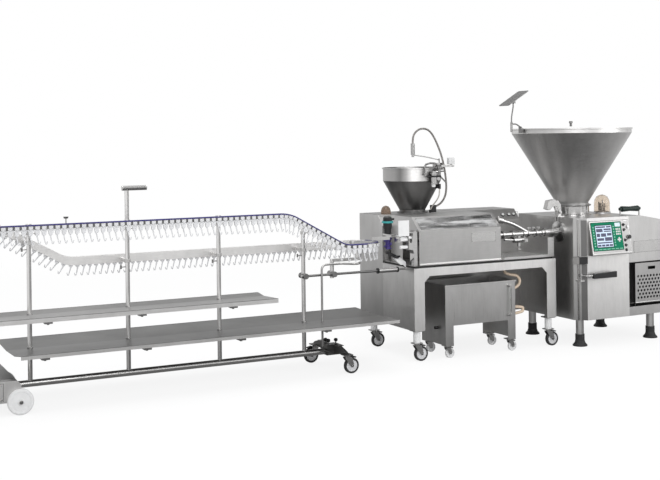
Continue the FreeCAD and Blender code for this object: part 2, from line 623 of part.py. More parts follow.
def end_support():
    """Short post below the right turn wheel, hung on a link rod from the last upright."""
    block, block_z = bearing_block(TURN_RIGHT_X, TRACK_LOW_Z)
    arm = box((END_POST_X, CONVEYOR_Y - 14, block_z - 24), (TURN_RIGHT_X + 30, CONVEYOR_Y + 14, block_z))
    column = rod((END_POST_X, CONVEYOR_Y, END_POST_FOOT_Z), (END_POST_X, CONVEYOR_Y, block_z), POST_RADIUS)
    clamp_y = CONVEYOR_Y - POST_RADIUS - LINK_ROD_RADIUS - 4
    hubs = []
    for x in (POST_X[-1], END_POST_X):
        hubs.append(rod((x, clamp_y - 26, LINK_ROD_Z), (x, CONVEYOR_Y + 46, LINK_ROD_Z), 23))
    link = rod((POST_X[-1] - 34, clamp_y, LINK_ROD_Z), (DOCK_LEFT_X, clamp_y, LINK_ROD_Z), LINK_ROD_RADIUS)
    last = rod((POST_X[-1], CONVEYOR_Y, LINK_ROD_Z - 60), (POST_X[-1], CONVEYOR_Y, LINK_ROD_Z + 60),
               POST_RADIUS)
    return fuse([block, arm, column, link] + hubs).cut(last)


def docking_rod():
    """Spring sleeve that holds the conveyor off the table, with rubber end rings and a pin."""
    y = CONVEYOR_Y - POST_RADIUS - LINK_ROD_RADIUS - 4
    sleeve = rod((DOCK_LEFT_X + 12, y, LINK_ROD_Z), (DOCK_RIGHT_X - 12, y, LINK_ROD_Z), DOCK_RADIUS - 3)
    rings = [rod((x, y, LINK_ROD_Z), (x + 12, y, LINK_ROD_Z), DOCK_RADIUS)
             for x in (DOCK_LEFT_X, DOCK_RIGHT_X - 12)]
    pin = rod((DOCK_RIGHT_X, y, LINK_ROD_Z), (TABLE_LEFT_X - SEAT_GAP, y, LINK_ROD_Z), 8)
    return fuse([sleeve, pin] + rings)


BOW_X = -345.0
BOW_Y = -225.0
BOW_RADIUS = 9.0
BOW_Z = 850.0


def guard_bow():
    """Bent tube from the cross-member up and under the right end of the chain."""
    bow = bent_rod([(CROSS_X - 40, BOW_Y, 150), (BOW_X, BOW_Y, 150), (BOW_X, BOW_Y, BOW_Z),
                    (END_POST_X + 60, BOW_Y, BOW_Z), (-60, BOW_Y - 110, BOW_Z), (-10, BOW_Y - 20, BOW_Z)],
                   BOW_RADIUS, 42)
    return bow.cut(box((CROSS_X - 55, CONVEYOR_Y - 45, 112), (CROSS_X + 55, CONVEYOR_Y + 45, 196)))


def drive_box():
    """Closed sheet-metal box with sloped shoulders and the axle stubs of the two large wheels."""
    front = CONVEYOR_Y - 305.0
    rear = CONVEYOR_Y + 305.0
    outline = [(front, BOX_FOOT_Z), (front, BOX_TOP_Z - 12), (front + 14, BOX_TOP_Z), (rear - 14, BOX_TOP_Z),
               (rear, BOX_TOP_Z - 12), (rear, BOX_FOOT_Z)]
    shell = prism_x(outline, BOX_LEFT_X, BOX_RIGHT_X)
    slope = prism_y([(BOX_RIGHT_X - 38, BOX_TOP_Z + 1), (BOX_RIGHT_X + 1, BOX_TOP_Z + 1),
                     (BOX_RIGHT_X + 1, BOX_TOP_Z - 42), (BOX_RIGHT_X, BOX_TOP_Z - 42)], front - 1, rear + 1)
    hollow = box((BOX_LEFT_X + 3, front + 3, BOX_FOOT_Z + 3), (BOX_RIGHT_X - 42, rear - 3, BOX_TOP_Z - 15))
    axles = [rod((BIG_WHEEL_X, y, BIG_WHEEL_RADIUS), (BIG_WHEEL_X, y + side * (BIG_WHEEL_WIDTH + 14),
                                                     BIG_WHEEL_RADIUS), 10)
             for y, side in ((front, -1), (rear, 1))]
    heads = [rod((BIG_WHEEL_X, y + side * (BIG_WHEEL_WIDTH + 6), BIG_WHEEL_RADIUS),
                 (BIG_WHEEL_X, y + side * (BIG_WHEEL_WIDTH + 14), BIG_WHEEL_RADIUS), 14)
             for y, side in ((front, -1), (rear, 1))]
    return fuse([shell.cut(slope).cut(hollow)] + axles + heads), front, rear


def big_wheel(y_low):
    half = BIG_WHEEL_WIDTH / 2
    r = BIG_WHEEL_RADIUS
    profile = [(10 + RUN_CLEARANCE, -half), (r - 8, -half), (r, -half + 8), (r, half - 8), (r - 8, half),
               (r - 20, half), (r - 24, half - 3), (24, half - 3), (20, half), (10 + RUN_CLEARANCE, half)]
    wheel = revolve(profile, (0, 0, 0))
    wheel.rotate(V(0, 0, 0), X_DIR, 90)
    wheel.translate(V(BIG_WHEEL_X, y_low + half, r))
    return wheel


def drive_end():
    body, front, rear = drive_box()
    export("drive_box", Part.makeCompound([body, turn_ends()]))
    export("front_big_wheel", big_wheel(front - 3 - BIG_WHEEL_WIDTH))
    export("rear_big_wheel", big_wheel(rear + 3))


def table_frame():
    """Side panels, front portal with gusseted corners, table plate and castor spacers."""
    side = [(TABLE_FRONT_Y, LEG_FOOT_Z), (TABLE_FRONT_Y, TABLE_TOP_Z - SHEET),
            (CABINET_FRONT_Y, TABLE_TOP_Z - SHEET), (CABINET_FRONT_Y, LEG_FOOT_Z)]
    panels = [prism_x(side, TABLE_LEFT_X, TABLE_LEFT_X + SHEET),
              prism_x(side, TABLE_RIGHT_X - SHEET, TABLE_RIGHT_X)]
    inner_left = TABLE_LEFT_X + LEG_WIDTH
    inner_right = TABLE_RIGHT_X - LEG_WIDTH
    rail_z = TABLE_TOP_Z - RAIL_DEPTH
    portal = [(TABLE_LEFT_X, LEG_FOOT_Z), (inner_left, LEG_FOOT_Z), (inner_left, rail_z - GUSSET),
              (inner_left + GUSSET, rail_z), (inner_right - GUSSET, rail_z), (inner_right, rail_z - GUSSET),
              (inner_right, LEG_FOOT_Z), (TABLE_RIGHT_X, LEG_FOOT_Z), (TABLE_RIGHT_X, TABLE_TOP_Z),
              (TABLE_LEFT_X, TABLE_TOP_Z)]
    front = prism_y(portal, TABLE_FRONT_Y, TABLE_FRONT_Y + SHEET)
    edge = prism_y(portal, TABLE_FRONT_Y, TABLE_FRONT_Y + 40)
    inset = prism_y([(TABLE_LEFT_X + SHEET, LEG_FOOT_Z + SHEET), (inner_left - SHEET, LEG_FOOT_Z + SHEET),
                     (inner_left - SHEET, rail_z - GUSSET), (inner_left + GUSSET, rail_z + SHEET),
                     (inner_right - GUSSET, rail_z + SHEET), (inner_right + SHEET, rail_z - GUSSET),
                     (inner_right + SHEET, LEG_FOOT_Z + SHEET), (TABLE_RIGHT_X - SHEET, LEG_FOOT_Z + SHEET),
                     (TABLE_RIGHT_X - SHEET, TABLE_TOP_Z - SHEET),
                     (TABLE_LEFT_X + SHEET, TABLE_TOP_Z - SHEET)],
                    TABLE_FRONT_Y + SHEET, TABLE_FRONT_Y + 41)
    plate = box((TABLE_LEFT_X, TABLE_FRONT_Y, TABLE_TOP_Z - SHEET),
                (TABLE_RIGHT_X, CABINET_FRONT_Y, TABLE_TOP_Z))
    feet = []
    for name in ("table_front_left", "table_front_right"):
        x, y = CASTORS[name][0]
        feet.append(box((x - 45, y - 45, LEG_FOOT_Z - 6), (x + 45, y + 45, LEG_FOOT_Z + SHEET)))
    return fuse([front, edge.cut(inset), plate] + panels + feet)


def castor_spacers():
    """Pale round spacers between the table and its castors, each with a mounting plate."""
    spacers = []
    for name, (swivel, heading) in CASTORS.items():
        if not name.startswith("table"):
            continue
        x, y = swivel
        top = LEG_FOOT_Z - 6 if "front" in name else LEG_FOOT_Z
        post_part = Part.makeCylinder(SPACER_RADIUS, top - CASTOR_HEIGHT, V(x, y, CASTOR_HEIGHT))
        plate = box((x - 40, y - 34, CASTOR_HEIGHT - 8), (x + 40, y + 34, CASTOR_HEIGHT))
        spacers.append(post_part.fuse(plate))
    return spacers


def cabinet():
    """Rear cabinet with the sloped console along its front edge, hollow inside."""
    f = CABINET_FRONT_Y + SEAT_GAP
    outline = [(f, LEG_FOOT_Z), (f, CONSOLE_LIP_Z), (f + CONSOLE_SLOPE, CABINET_TOP_Z),
               (CABINET_REAR_Y, CABINET_TOP_Z), (CABINET_REAR_Y, LEG_FOOT_Z)]
    shell = prism_x(outline, TABLE_LEFT_X, TABLE_RIGHT_X)
    t = SHEET
    inner = [(f + t, LEG_FOOT_Z + t), (f + t, CONSOLE_LIP_Z - 2), (f + CONSOLE_SLOPE + 2, CABINET_TOP_Z - t),
             (CABINET_REAR_Y - t, CABINET_TOP_Z - t), (CABINET_REAR_Y - t, LEG_FOOT_Z + t)]
    hollow = prism_x(inner, TABLE_LEFT_X + t, TABLE_RIGHT_X - t)
    louvres = []
    for number in range(8):
        z = 420.0 + number * 32
        louvres.append(box((900, CABINET_REAR_Y - 2, z), (1450, CABINET_REAR_Y + 1, z + 10)))
    return shell.cut(hollow).cut(Part.makeCompound(louvres))


BUTTON_X = (1741.0, 1808.0, 1862.0)
BUTTON_RADIUS = 13.0
BUTTON_TRAVEL = 4.0


def console_point(x, height):
    """Point on the sloped console face of the cabinet at a given height, and its outward normal."""
    f = CABINET_FRONT_Y + SEAT_GAP
    rise = CABINET_TOP_Z - CONSOLE_LIP_Z
    y = f + CONSOLE_SLOPE * (height - CONSOLE_LIP_Z) / rise
    return V(x, y, height), V(0, -rise, CONSOLE_SLOPE).normalize()


def console_buttons():
    collars = []
    for number, x in enumerate(BUTTON_X):
        seat, normal = console_point(x, 1140.0)
        collar = Part.makeCylinder(BUTTON_RADIUS + 5, 5, seat, normal)
        bore = Part.makeCylinder(BUTTON_RADIUS + SEAT_GAP, 10, seat - normal, normal)
        collars.append(collar.cut(bore))
        button = Part.makeCylinder(BUTTON_RADIUS, 6.0, seat + normal * (BUTTON_TRAVEL + SEAT_GAP), normal)
        export("console_button_%d" % (number + 1), button)
    return collars


SIDE_WALL_X = 1830.0
SIDE_WALL_Z = 967.0


TRAY_INSET = 12.0
TRAY_TOP_Z = TABLE_TOP_Z + 19.0


def splash_tray():
    """Shallow tray on the table with a front lip and a low wall at its right end."""
    low = TRAY_TOP_Z - 3
    y = TABLE_FRONT_Y + TRAY_INSET
    right = TABLE_RIGHT_X - 8
    plate = box((TABLE_LEFT_X + TRAY_INSET, y, low), (right, CABINET_FRONT_Y, TRAY_TOP_Z))
    lip = box((HOOD_RIGHT_X + 20, y, low), (SIDE_WALL_X, y + 3, low + 22))
    wall = box((right - 4, y, low), (right, CABINET_FRONT_Y, SIDE_WALL_Z))
    flange = box((SIDE_WALL_X, y, low), (right, y + 3, SIDE_WALL_Z))
    return fuse([plate, lip, wall, flange])


def gasket():
    """Dark sealing strip between the table plate and the splash tray."""
    return box((TABLE_LEFT_X + 20, TABLE_FRONT_Y + 20, TABLE_TOP_Z),
               (TABLE_RIGHT_X - 16, CABINET_FRONT_Y - 4, TRAY_TOP_Z - 3))


HOOD_PIPE_HOLE = 60.0
HOOD_NOTCH_FRONT = 38.0
HOOD_NOTCH_REAR = 230.0
HOOD_HINGE = (CABINET_FRONT_Y - 14.0, HOOD_TOP_Z - 6.0)


HOOD_REAR_Y = HOOD_HINGE[0] - 10.0
HINGE_X = (HOOD_LEFT_X + 90.0, HOOD_RIGHT_X - 90.0)
HINGE_PIN_RADIUS = 3.5
HINGE_BARREL_RADIUS = 7.0


def hood_outline(inset):
    """Side view of the hood, moved in by inset."""
    return [(HOOD_FRONT_Y + inset, HOOD_FOOT_Z), (HOOD_FRONT_Y + inset, HOOD_SHOULDER_Z - inset * 0.4),
            (HOOD_TOP_FRONT_Y + inset * 0.4, HOOD_TOP_Z - inset), (HOOD_REAR_Y - inset, HOOD_TOP_Z - inset),
            (HOOD_REAR_Y - inset, HOOD_FOOT_Z)]


WINDOW_MARGIN = 26.0


def window_block():
    """Block through the sloped face of the hood, its opening set in from the edges."""
    foot = V(0, HOOD_FRONT_Y, HOOD_SHOULDER_Z)
    rise = V(0, HOOD_TOP_FRONT_Y - HOOD_FRONT_Y, HOOD_TOP_Z - HOOD_SHOULDER_Z)
    along = V(rise).normalize()
    normal = V(0, -along.z, along.y)
    low = foot + along * (WINDOW_MARGIN * 0.6)
    high = foot + rise - along * (WINDOW_MARGIN * 0.6)
    corners = [low - normal * 12, high - normal * 12, high + normal * 12, low + normal * 12]
    corners = [V(HOOD_LEFT_X + WINDOW_MARGIN, p.y, p.z) for p in corners]
    face = Part.Face(Part.makePolygon(corners + corners[:1]))
    return face.extrude(V(HOOD_RIGHT_X - HOOD_LEFT_X - 2 * WINDOW_MARGIN, 0, 0))


def hood():
    """Sheet hood, open below and behind, with notches for the pipe and its hinge knuckles."""
    outer = prism_x(hood_outline(0), HOOD_LEFT_X, HOOD_RIGHT_X)
    inner = prism_x(hood_outline(HOOD_SHEET), HOOD_LEFT_X + HOOD_SHEET, HOOD_RIGHT_X - HOOD_SHEET)
    rear = box((HOOD_LEFT_X + HOOD_SHEET, HOOD_REAR_Y - 30, HOOD_FOOT_Z - 1),
               (HOOD_RIGHT_X - HOOD_SHEET, HOOD_REAR_Y + 1, HOOD_TOP_Z - 30))
    shell = outer.cut(inner).cut(rear)
    notches = []
    for x_low, x_high in ((HOOD_LEFT_X - 1, HOOD_LEFT_X + HOOD_SHEET + 1),
                          (HOOD_RIGHT_X - HOOD_SHEET - 1, HOOD_RIGHT_X + 1)):
        notches.append(box((x_low, PIPE_Y - HOOD_NOTCH_FRONT, HOOD_FOOT_Z - 1),
                           (x_high, PIPE_Y + HOOD_NOTCH_REAR, PIPE_Z + HOOD_PIPE_HOLE)))
    shell = shell.cut(Part.makeCompound(notches)).cut(window_block())
    y, z = HOOD_HINGE
    knuckles = []
    bores = []
    for x in HINGE_X:
        for low, high in ((x - 56, x - 30 - SEAT_GAP), (x + 30 + SEAT_GAP, x + 56)):
            knuckles.append(rod((low, y, z), (high, y, z), HINGE_BARREL_RADIUS))
            knuckles.append(box((low, HOOD_REAR_Y - 2, z), (high, y, HOOD_TOP_Z)))
        bores.append(rod((x - 60, y, z), (x + 60, y, z), HINGE_PIN_RADIUS + RUN_CLEARANCE))
    return fuse([shell] + knuckles).cut(Part.makeCompound(bores))


def hood_window():
    """Clear pane that fills the opening in the sloped face."""
    outer = prism_x(hood_outline(0), HOOD_LEFT_X, HOOD_RIGHT_X)
    inner = prism_x(hood_outline(HOOD_SHEET), HOOD_LEFT_X - 1, HOOD_RIGHT_X + 1)
    return outer.cut(inner).common(window_block())


def hood_hinges():
    """Hinge brackets on the cabinet's front with the pins the hood turns on."""
    brackets = []
    y, z = HOOD_HINGE
    for x in HINGE_X:
        barrel = rod((x - 30, y, z), (x + 30, y, z), HINGE_BARREL_RADIUS)
        pin = rod((x - 58, y, z), (x + 58, y, z), HINGE_PIN_RADIUS)
        web = box((x - 30, y - 2, CONSOLE_LIP_Z - 26), (x + 30, y + 4, z))
        leaf = box((x - 30, y, CONSOLE_LIP_Z - 26), (x + 30, CABINET_FRONT_Y + SEAT_GAP, CONSOLE_LIP_Z - 10))
        brackets.append(fuse([barrel, pin, web, leaf]))
    return Part.makeCompound(brackets)


def small_hopper():
    """Open funnel for the casing paste on the cabinet, with its loop handle and valve."""
    r, neck, wall = SMALL_HOPPER_RADIUS, SMALL_HOPPER_NECK_RADIUS, 3.0
    base = CABINET_TOP_Z
    profile = [(neck + 25, base), (neck + 25, base + 8), (neck + wall, base + 8), (neck + wall, base + 28),
               (r - 8, SMALL_HOPPER_CONE_Z), (r - 8, SMALL_HOPPER_RIM_Z - 12), (r, SMALL_HOPPER_RIM_Z - 12),
               (r, SMALL_HOPPER_RIM_Z), (r - 8 - wall, SMALL_HOPPER_RIM_Z),
               (r - 8 - wall, SMALL_HOPPER_CONE_Z + 2),
               (neck, base + 30), (neck, base)]
    funnel = revolve(profile, (SMALL_HOPPER_X, SMALL_HOPPER_Y, 0))
    inside = revolve([(0, base), (neck, base), (neck, base + 30), (r - 8 - wall, SMALL_HOPPER_CONE_Z + 2),
                      (r - 8 - wall, SMALL_HOPPER_RIM_Z + 1), (0, SMALL_HOPPER_RIM_Z + 1)],
                     (SMALL_HOPPER_X, SMALL_HOPPER_Y, 0))
    turn = math.radians(-62)
    out = V(math.cos(turn), math.sin(turn), 0)
    side = V(-out.y, out.x, 0)
    centre = V(SMALL_HOPPER_X, SMALL_HOPPER_Y, SMALL_HOPPER_RIM_Z - 35) + out * (r - 14)
    loop = bent_rod([tuple(centre - side * 60), tuple(centre - side * 60 + out * 46),
                     tuple(centre + side * 60 + out * 46), tuple(centre + side * 60)], 6, 18)
    return fuse([funnel, loop.cut(inside)] + [part.cut(inside) for part in paste_valve()])


HEAD_X = (640.0, 1230.0)
HEAD_RADIUS = 32.0


def coextrusion_head():
    """Casing head under the hood: body, flanges, horn to the left, drive casing and stands."""
    low, high = HEAD_X[0] + 120, HEAD_X[1] - 140
    body = rod((low, PIPE_Y, PIPE_Z), (high, PIPE_Y, PIPE_Z), HEAD_RADIUS)
    flanges = [rod((x, PIPE_Y, PIPE_Z), (x + 18, PIPE_Y, PIPE_Z), HEAD_RADIUS + 6)
               for x in (low, low + 140, high - 18)]
    horn = Part.makeCone(22, HEAD_RADIUS - 2, 121, V(HEAD_X[0], PIPE_Y, PIPE_Z), X_DIR)
    spout = rod((HOOD_LEFT_X - 42, PIPE_Y, PIPE_Z), (HEAD_X[0] + 2, PIPE_Y, PIPE_Z), 20)
    feed = rod((high - 1, PIPE_Y, PIPE_Z), (HOOD_RIGHT_X + 14, PIPE_Y, PIPE_Z), PIPE_RADIUS)
    casing = box((low + 20, PIPE_Y + 24, TRAY_TOP_Z), (high - 30, PIPE_Y + 170, PIPE_Z + 70))
    casing = casing.cut(box((low + 26, PIPE_Y + 36, TRAY_TOP_Z + 6), (high - 36, PIPE_Y + 164, PIPE_Z + 64)))
    supports = [box((x, PIPE_Y - 26, TRAY_TOP_Z), (x + 40, PIPE_Y + 26, PIPE_Z - 20))
                for x in (low + 30, high - 120)]
    bore = rod((HOOD_LEFT_X - 43, PIPE_Y, PIPE_Z), (HOOD_RIGHT_X + 15, PIPE_Y, PIPE_Z), 15)
    return fuse([body, horn, spout, feed, casing] + flanges + supports).cut(bore)


NUT_LEFT_X = 1832.0
NUT_RIGHT_X = 1972.0
OUTLET_RADIUS = 92.0
CLOVER_X = (1672.0, 1718.0, 1772.0)


def infeed_pipe():
    """Pipe from the filler outlet to the head, with its rings, dosing branch and valve body."""
    main = rod((HOOD_RIGHT_X + 14, PIPE_Y, PIPE_Z), (NUT_LEFT_X + 40, PIPE_Y, PIPE_Z), PIPE_RADIUS)
    rings = [rod((x, PIPE_Y, PIPE_Z), (x + 14, PIPE_Y, PIPE_Z), PIPE_RADIUS + 10)
             for x in (1380.0, 1480.0, 1600.0, 1650.0, 1735.0, 1800.0)]
    branch = bent_rod([(1365, PIPE_Y + 20, 1138), (1500, PIPE_Y + 10, 1100), (1656, PIPE_Y, PIPE_Z + 8)], 22)
    collar = rod((1352, PIPE_Y + 20, 1141), (1396, PIPE_Y + 18, 1130), 34)
    valve = rod((1560, PIPE_Y - 6, 900), (1560, PIPE_Y - 6, PIPE_Z), 16)
    chest = rod((1498, PIPE_Y - 10, 955), (1622, PIPE_Y - 10, 955), 24)
    tail = rod((1400, PIPE_Y - 10, 965), (1500, PIPE_Y - 10, 957), 11)
    bore = rod((HOOD_RIGHT_X + 13, PIPE_Y, PIPE_Z), (NUT_LEFT_X + 41, PIPE_Y, PIPE_Z), 15)
    return fuse([main, branch, collar, valve, chest, tail] + rings).cut(bore)


def clover_knob(x, y, z, direction=Z_DIR):
    """Four-lobed clamp knob on its stud."""
    lobes = []
    for number in range(4):
        turn = math.radians(45 + 90 * number)
        lobes.append(Part.makeCylinder(8, 12, V(11 * math.cos(turn), 11 * math.sin(turn), 18)))
    knob = fuse([Part.makeCylinder(10, 14, V(0, 0, 17)), Part.makeCylinder(4, 18, V(0, 0, 0))] + lobes)
    knob.Placement = FreeCAD.Placement(V(x, y, z), FreeCAD.Rotation(Z_DIR, direction))
    return knob


def pipe_knobs():
    knobs = [clover_knob(x, PIPE_Y, PIPE_Z + PIPE_RADIUS) for x in CLOVER_X]
    knobs.append(clover_knob(1600, PIPE_Y - 10 - 24, 955, V(0, -1, 0)))
    knobs.append(clover_knob(1560, PIPE_Y - 6, 900, V(0, 0, -1)))
    return knobs


def union_nut():
    """Slotted union nut that draws the pipe onto the outlet cone."""
    r = 37.0
    nut = rod((NUT_LEFT_X, PIPE_Y, PIPE_Z), (NUT_RIGHT_X, PIPE_Y, PIPE_Z), r)
    groove = rod((NUT_LEFT_X + 46, PIPE_Y, PIPE_Z), (NUT_LEFT_X + 92, PIPE_Y, PIPE_Z), r + 1).cut(
        rod((NUT_LEFT_X + 45, PIPE_Y, PIPE_Z), (NUT_LEFT_X + 93, PIPE_Y, PIPE_Z), r - 5))
    bore = rod((NUT_LEFT_X - 1, PIPE_Y, PIPE_Z), (NUT_RIGHT_X + 1, PIPE_Y, PIPE_Z),
               PIPE_RADIUS + RUN_CLEARANCE)
    slots = []
    for number in range(6):
        turn = math.radians(60 * number)
        y = PIPE_Y + (r + 2) * math.cos(turn)
        z = PIPE_Z + (r + 2) * math.sin(turn)
        slots.append(rod((NUT_RIGHT_X - 40, y, z), (NUT_RIGHT_X - 8, y, z), 7))
    return nut.cut(groove).cut(bore).cut(Part.makeCompound(slots))


def outlet_housing():
    """Cone on the filler's left wall that the pump feeds, with its spigot."""
    x = BODY_LEFT_X
    nose = x - NUT_RIGHT_X - SEAT_GAP
    profile = [(OUTLET_RADIUS, 0), (OUTLET_RADIUS, 14), (74, 22), (46, nose), (PIPE_RADIUS, nose),
               (PIPE_RADIUS, x - NUT_LEFT_X - 42), (15, x - NUT_LEFT_X - 42), (15, 20), (40, 0)]
    cone = revolve(profile, (0, 0, 0))
    cone.rotate(V(0, 0, 0), Y_DIR, -90)
    cone.translate(V(x, PIPE_Y, PIPE_Z))
    return cone


LINKER_Y = PIPE_Y
SPIRAL_X = 300.0
SPIRAL_Y = -172.0
SPIRAL_RADIUS = 36.0
SPIRAL_LOW_Z = 940.0
SPIRAL_HIGH_Z = 1030.0
MOTOR_FOOT_Z = SPIRAL_HIGH_Z + 36.0
SHAFT_RADIUS = 8.0
ROLLER_X = (345.0, 455.0)
ROLLER_RADIUS = 11.0


def linker_head():
    """Gear case between the hood and the spiral that carries the rollers and the motor."""
    case = prism_y([(ROLLER_X[1] + 16, TRAY_TOP_Z), (HOOD_LEFT_X - 12, TRAY_TOP_Z), (HOOD_LEFT_X - 12, 1075),
                    (ROLLER_X[1] + 30, 1092), (ROLLER_X[1] + 6, 1080), (ROLLER_X[1] + 6, 930),
                    (ROLLER_X[1] + 16, 900)], LINKER_Y - 34, LINKER_Y + 34)
    case = case.cut(rod((ROLLER_X[1], PIPE_Y, PIPE_Z), (HOOD_LEFT_X, PIPE_Y, PIPE_Z), 20.4))
    yoke_foot = MOTOR_FOOT_Z - 14
    beam = box((SPIRAL_X - 30, LINKER_Y + 34, yoke_foot - 10),
               (ROLLER_X[1] + 30, LINKER_Y + 46, MOTOR_FOOT_Z))
    yoke = box((SPIRAL_X - 30, LINKER_Y + 34, yoke_foot), (SPIRAL_X + 30, SPIRAL_Y + 30, MOTOR_FOOT_Z))
    hole = rod((SPIRAL_X, SPIRAL_Y, yoke_foot - 12), (SPIRAL_X, SPIRAL_Y, MOTOR_FOOT_Z + 4),
               SHAFT_RADIUS + RUN_CLEARANCE)
    pins = [rod((ROLLER_X[0] - 14, y, z), (ROLLER_X[1] + 8, y, z), 4) for y, z in roller_places()]
    end = box((ROLLER_X[0] - 16, LINKER_Y - 30, PIPE_Z - 8),
              (ROLLER_X[0] - 10, LINKER_Y + 46, yoke_foot - SEAT_GAP))
    end = end.cut(rod((ROLLER_X[0] - 20, PIPE_Y, PIPE_Z - 4), (ROLLER_X[0], PIPE_Y, PIPE_Z - 4), 13))
    return fuse([case, beam, yoke, end, transfer_plate()] + pins).cut(hole)


def roller_places():
    return ((LINKER_Y - 19, 1034.0), (LINKER_Y + 19, 1034.0))


def linker_roller(y, z):
    """Soft roller that twists the strand off into lengths."""
    profile = [(4 + RUN_CLEARANCE, 0), (ROLLER_RADIUS - 2, 0), (ROLLER_RADIUS, 3), (ROLLER_RADIUS, 42),
               (ROLLER_RADIUS - 4, 48), (ROLLER_RADIUS - 4, 58), (ROLLER_RADIUS, 64),
               (ROLLER_RADIUS, 103), (ROLLER_RADIUS - 2, 106), (4 + RUN_CLEARANCE, 106)]
    roller = revolve(profile, (0, 0, 0))
    roller.rotate(V(0, 0, 0), Y_DIR, 90)
    roller.translate(V(ROLLER_X[0] + 1, y, z))
    return roller


def linker_guard():
    """Pale guard plate in front of the rollers, bent back at its foot."""
    y = LINKER_Y - 40
    foot = MOTOR_FOOT_Z - 14
    top = foot + 130
    plate = prism_x([(y - 4, foot), (y - 4, top), (y + 2, top), (y + 2, foot + 6), (y + 40, foot + 6),
                     (y + 40, foot)],
                    ROLLER_X[0] - 27, ROLLER_X[1] - 35)
    stay = box((ROLLER_X[1] - 55, y + 2, foot + 6), (ROLLER_X[1] - 41, LINKER_Y + 34, MOTOR_FOOT_Z))
    return fuse([plate, stay])


def placing_spiral():
    """Rubbery screw that sets the loops on the hooks: a coil round its shaft."""
    turns = 2.0
    pitch = (SPIRAL_HIGH_Z - SPIRAL_LOW_Z) / turns
    helix = Part.makeHelix(pitch, SPIRAL_HIGH_Z - SPIRAL_LOW_Z, SPIRAL_RADIUS - 8)
    section = Part.makePolygon([V(SPIRAL_RADIUS - 18, 0, -4), V(SPIRAL_RADIUS, 0, -4), V(SPIRAL_RADIUS, 0, 4),
                                V(SPIRAL_RADIUS - 18, 0, 4), V(SPIRAL_RADIUS - 18, 0, -4)])
    coil = Part.Wire(helix).makePipeShell([Part.Wire(section)], True, True)
    coil.translate(V(SPIRAL_X, SPIRAL_Y, SPIRAL_LOW_Z))
    core = Part.makeCylinder(SPIRAL_RADIUS - 16, SPIRAL_HIGH_Z - SPIRAL_LOW_Z + 8,
                             V(SPIRAL_X, SPIRAL_Y, SPIRAL_LOW_Z - 4))
    shaft = Part.makeCylinder(SHAFT_RADIUS, MOTOR_FOOT_Z + 6 - SPIRAL_HIGH_Z,
                              V(SPIRAL_X, SPIRAL_Y, SPIRAL_HIGH_Z))
    return fuse([core, coil, shaft])


def spiral_motor():
    """Gear motor above the spiral, with its coupling ring."""
    base = MOTOR_FOOT_Z
    gear = Part.makeCylinder(30, 40, V(SPIRAL_X, SPIRAL_Y, base))
    motor = Part.makeCylinder(37, 82, V(SPIRAL_X, SPIRAL_Y, base + 52))
    cavity = Part.makeCylinder(SHAFT_RADIUS + 1, 12, V(SPIRAL_X, SPIRAL_Y, base - 1))
    cap = Part.makeCone(37, 24, 10, V(SPIRAL_X, SPIRAL_Y, base + 134))
    plug = rod((SPIRAL_X + 20, SPIRAL_Y, base + 120), (SPIRAL_X + 62, SPIRAL_Y, base + 120), 9)
    return fuse([gear, motor, cap, plug]).cut(cavity)


def motor_ring():
    base = MOTOR_FOOT_Z
    return Part.makeCylinder(34, 12, V(SPIRAL_X, SPIRAL_Y, base + 40))


def placing_arm():
    """Black arm from the table's end panel up to the spiral, with a fork end and a pale shoe."""
    y = LINKER_Y + 70
    bar = prism_y([(SPIRAL_X - 46, 912), (SPIRAL_X - 30, 926), (SPIRAL_X + 60, 884), (TABLE_LEFT_X - 2, 826),
                   (TABLE_LEFT_X - SEAT_GAP, 775), (SPIRAL_X + 60, 858)], y - 12, y + 12)
    cross = prism_z([(SPIRAL_X + 50, y - 12), (SPIRAL_X + 90, y - 12), (SPIRAL_X + 30, y - 70),
                     (SPIRAL_X, y - 70)], 868, 884)
    return fuse([bar, cross])


def arm_shoe():
    y = LINKER_Y + 70
    return prism_y([(SPIRAL_X + 12, 866), (SPIRAL_X + 58, 857), (SPIRAL_X + 104, 828), (SPIRAL_X + 108, 806),
                    (SPIRAL_X + 84, 806)], y - 34, y - 12)


def transfer_plate():
    """Channel from the rollers to the start of the hook track, hung on the yoke by a tab."""
    y = LINKER_Y + 18
    channel = prism_x([(y, 1024), (y, 1054), (y + 3, 1054), (y + 3, 1027), (y + 36, 1027), (y + 36, 1024)],
                      102, SPIRAL_X - 30)
    tab = box((SPIRAL_X - 45, y, 1050), (SPIRAL_X - 25, y + 32, 1060))
    return fuse([channel, tab])


def sensor_arm():
    """Rim clamp, post and rod that hold the level sensor over the small hopper."""
    rim_x = SMALL_HOPPER_X + SMALL_HOPPER_RADIUS
    y = SMALL_HOPPER_Y + 12
    clamp = box((rim_x - 30, y - 18, SMALL_HOPPER_RIM_Z - 30), (rim_x + 62, y + 18, SMALL_HOPPER_RIM_Z + 34))
    slot = box((rim_x - 31, y - 19, SMALL_HOPPER_RIM_Z - 31),
               (rim_x + SEAT_GAP, y + 19, SMALL_HOPPER_RIM_Z + SEAT_GAP))
    upright = rod((rim_x + 30, y, SMALL_HOPPER_RIM_Z + 30), (rim_x + 30, y, SMALL_HOPPER_RIM_Z + 74), 6)
    arm = bent_rod([(rim_x + 30, y, SMALL_HOPPER_RIM_Z + 60),
                    (SMALL_HOPPER_X + 160, y, SMALL_HOPPER_RIM_Z + 92),
                    (SMALL_HOPPER_X + 20, y, SMALL_HOPPER_RIM_Z + 112)], 5)
    sensor = Part.makeCylinder(19, 104, V(SMALL_HOPPER_X + 20, y, SMALL_HOPPER_RIM_Z + 112))
    tip = Part.makeCylinder(12, 20, V(SMALL_HOPPER_X + 20, y, SMALL_HOPPER_RIM_Z + 92))
    return fuse([clamp.cut(slot), upright, arm, sensor, tip])


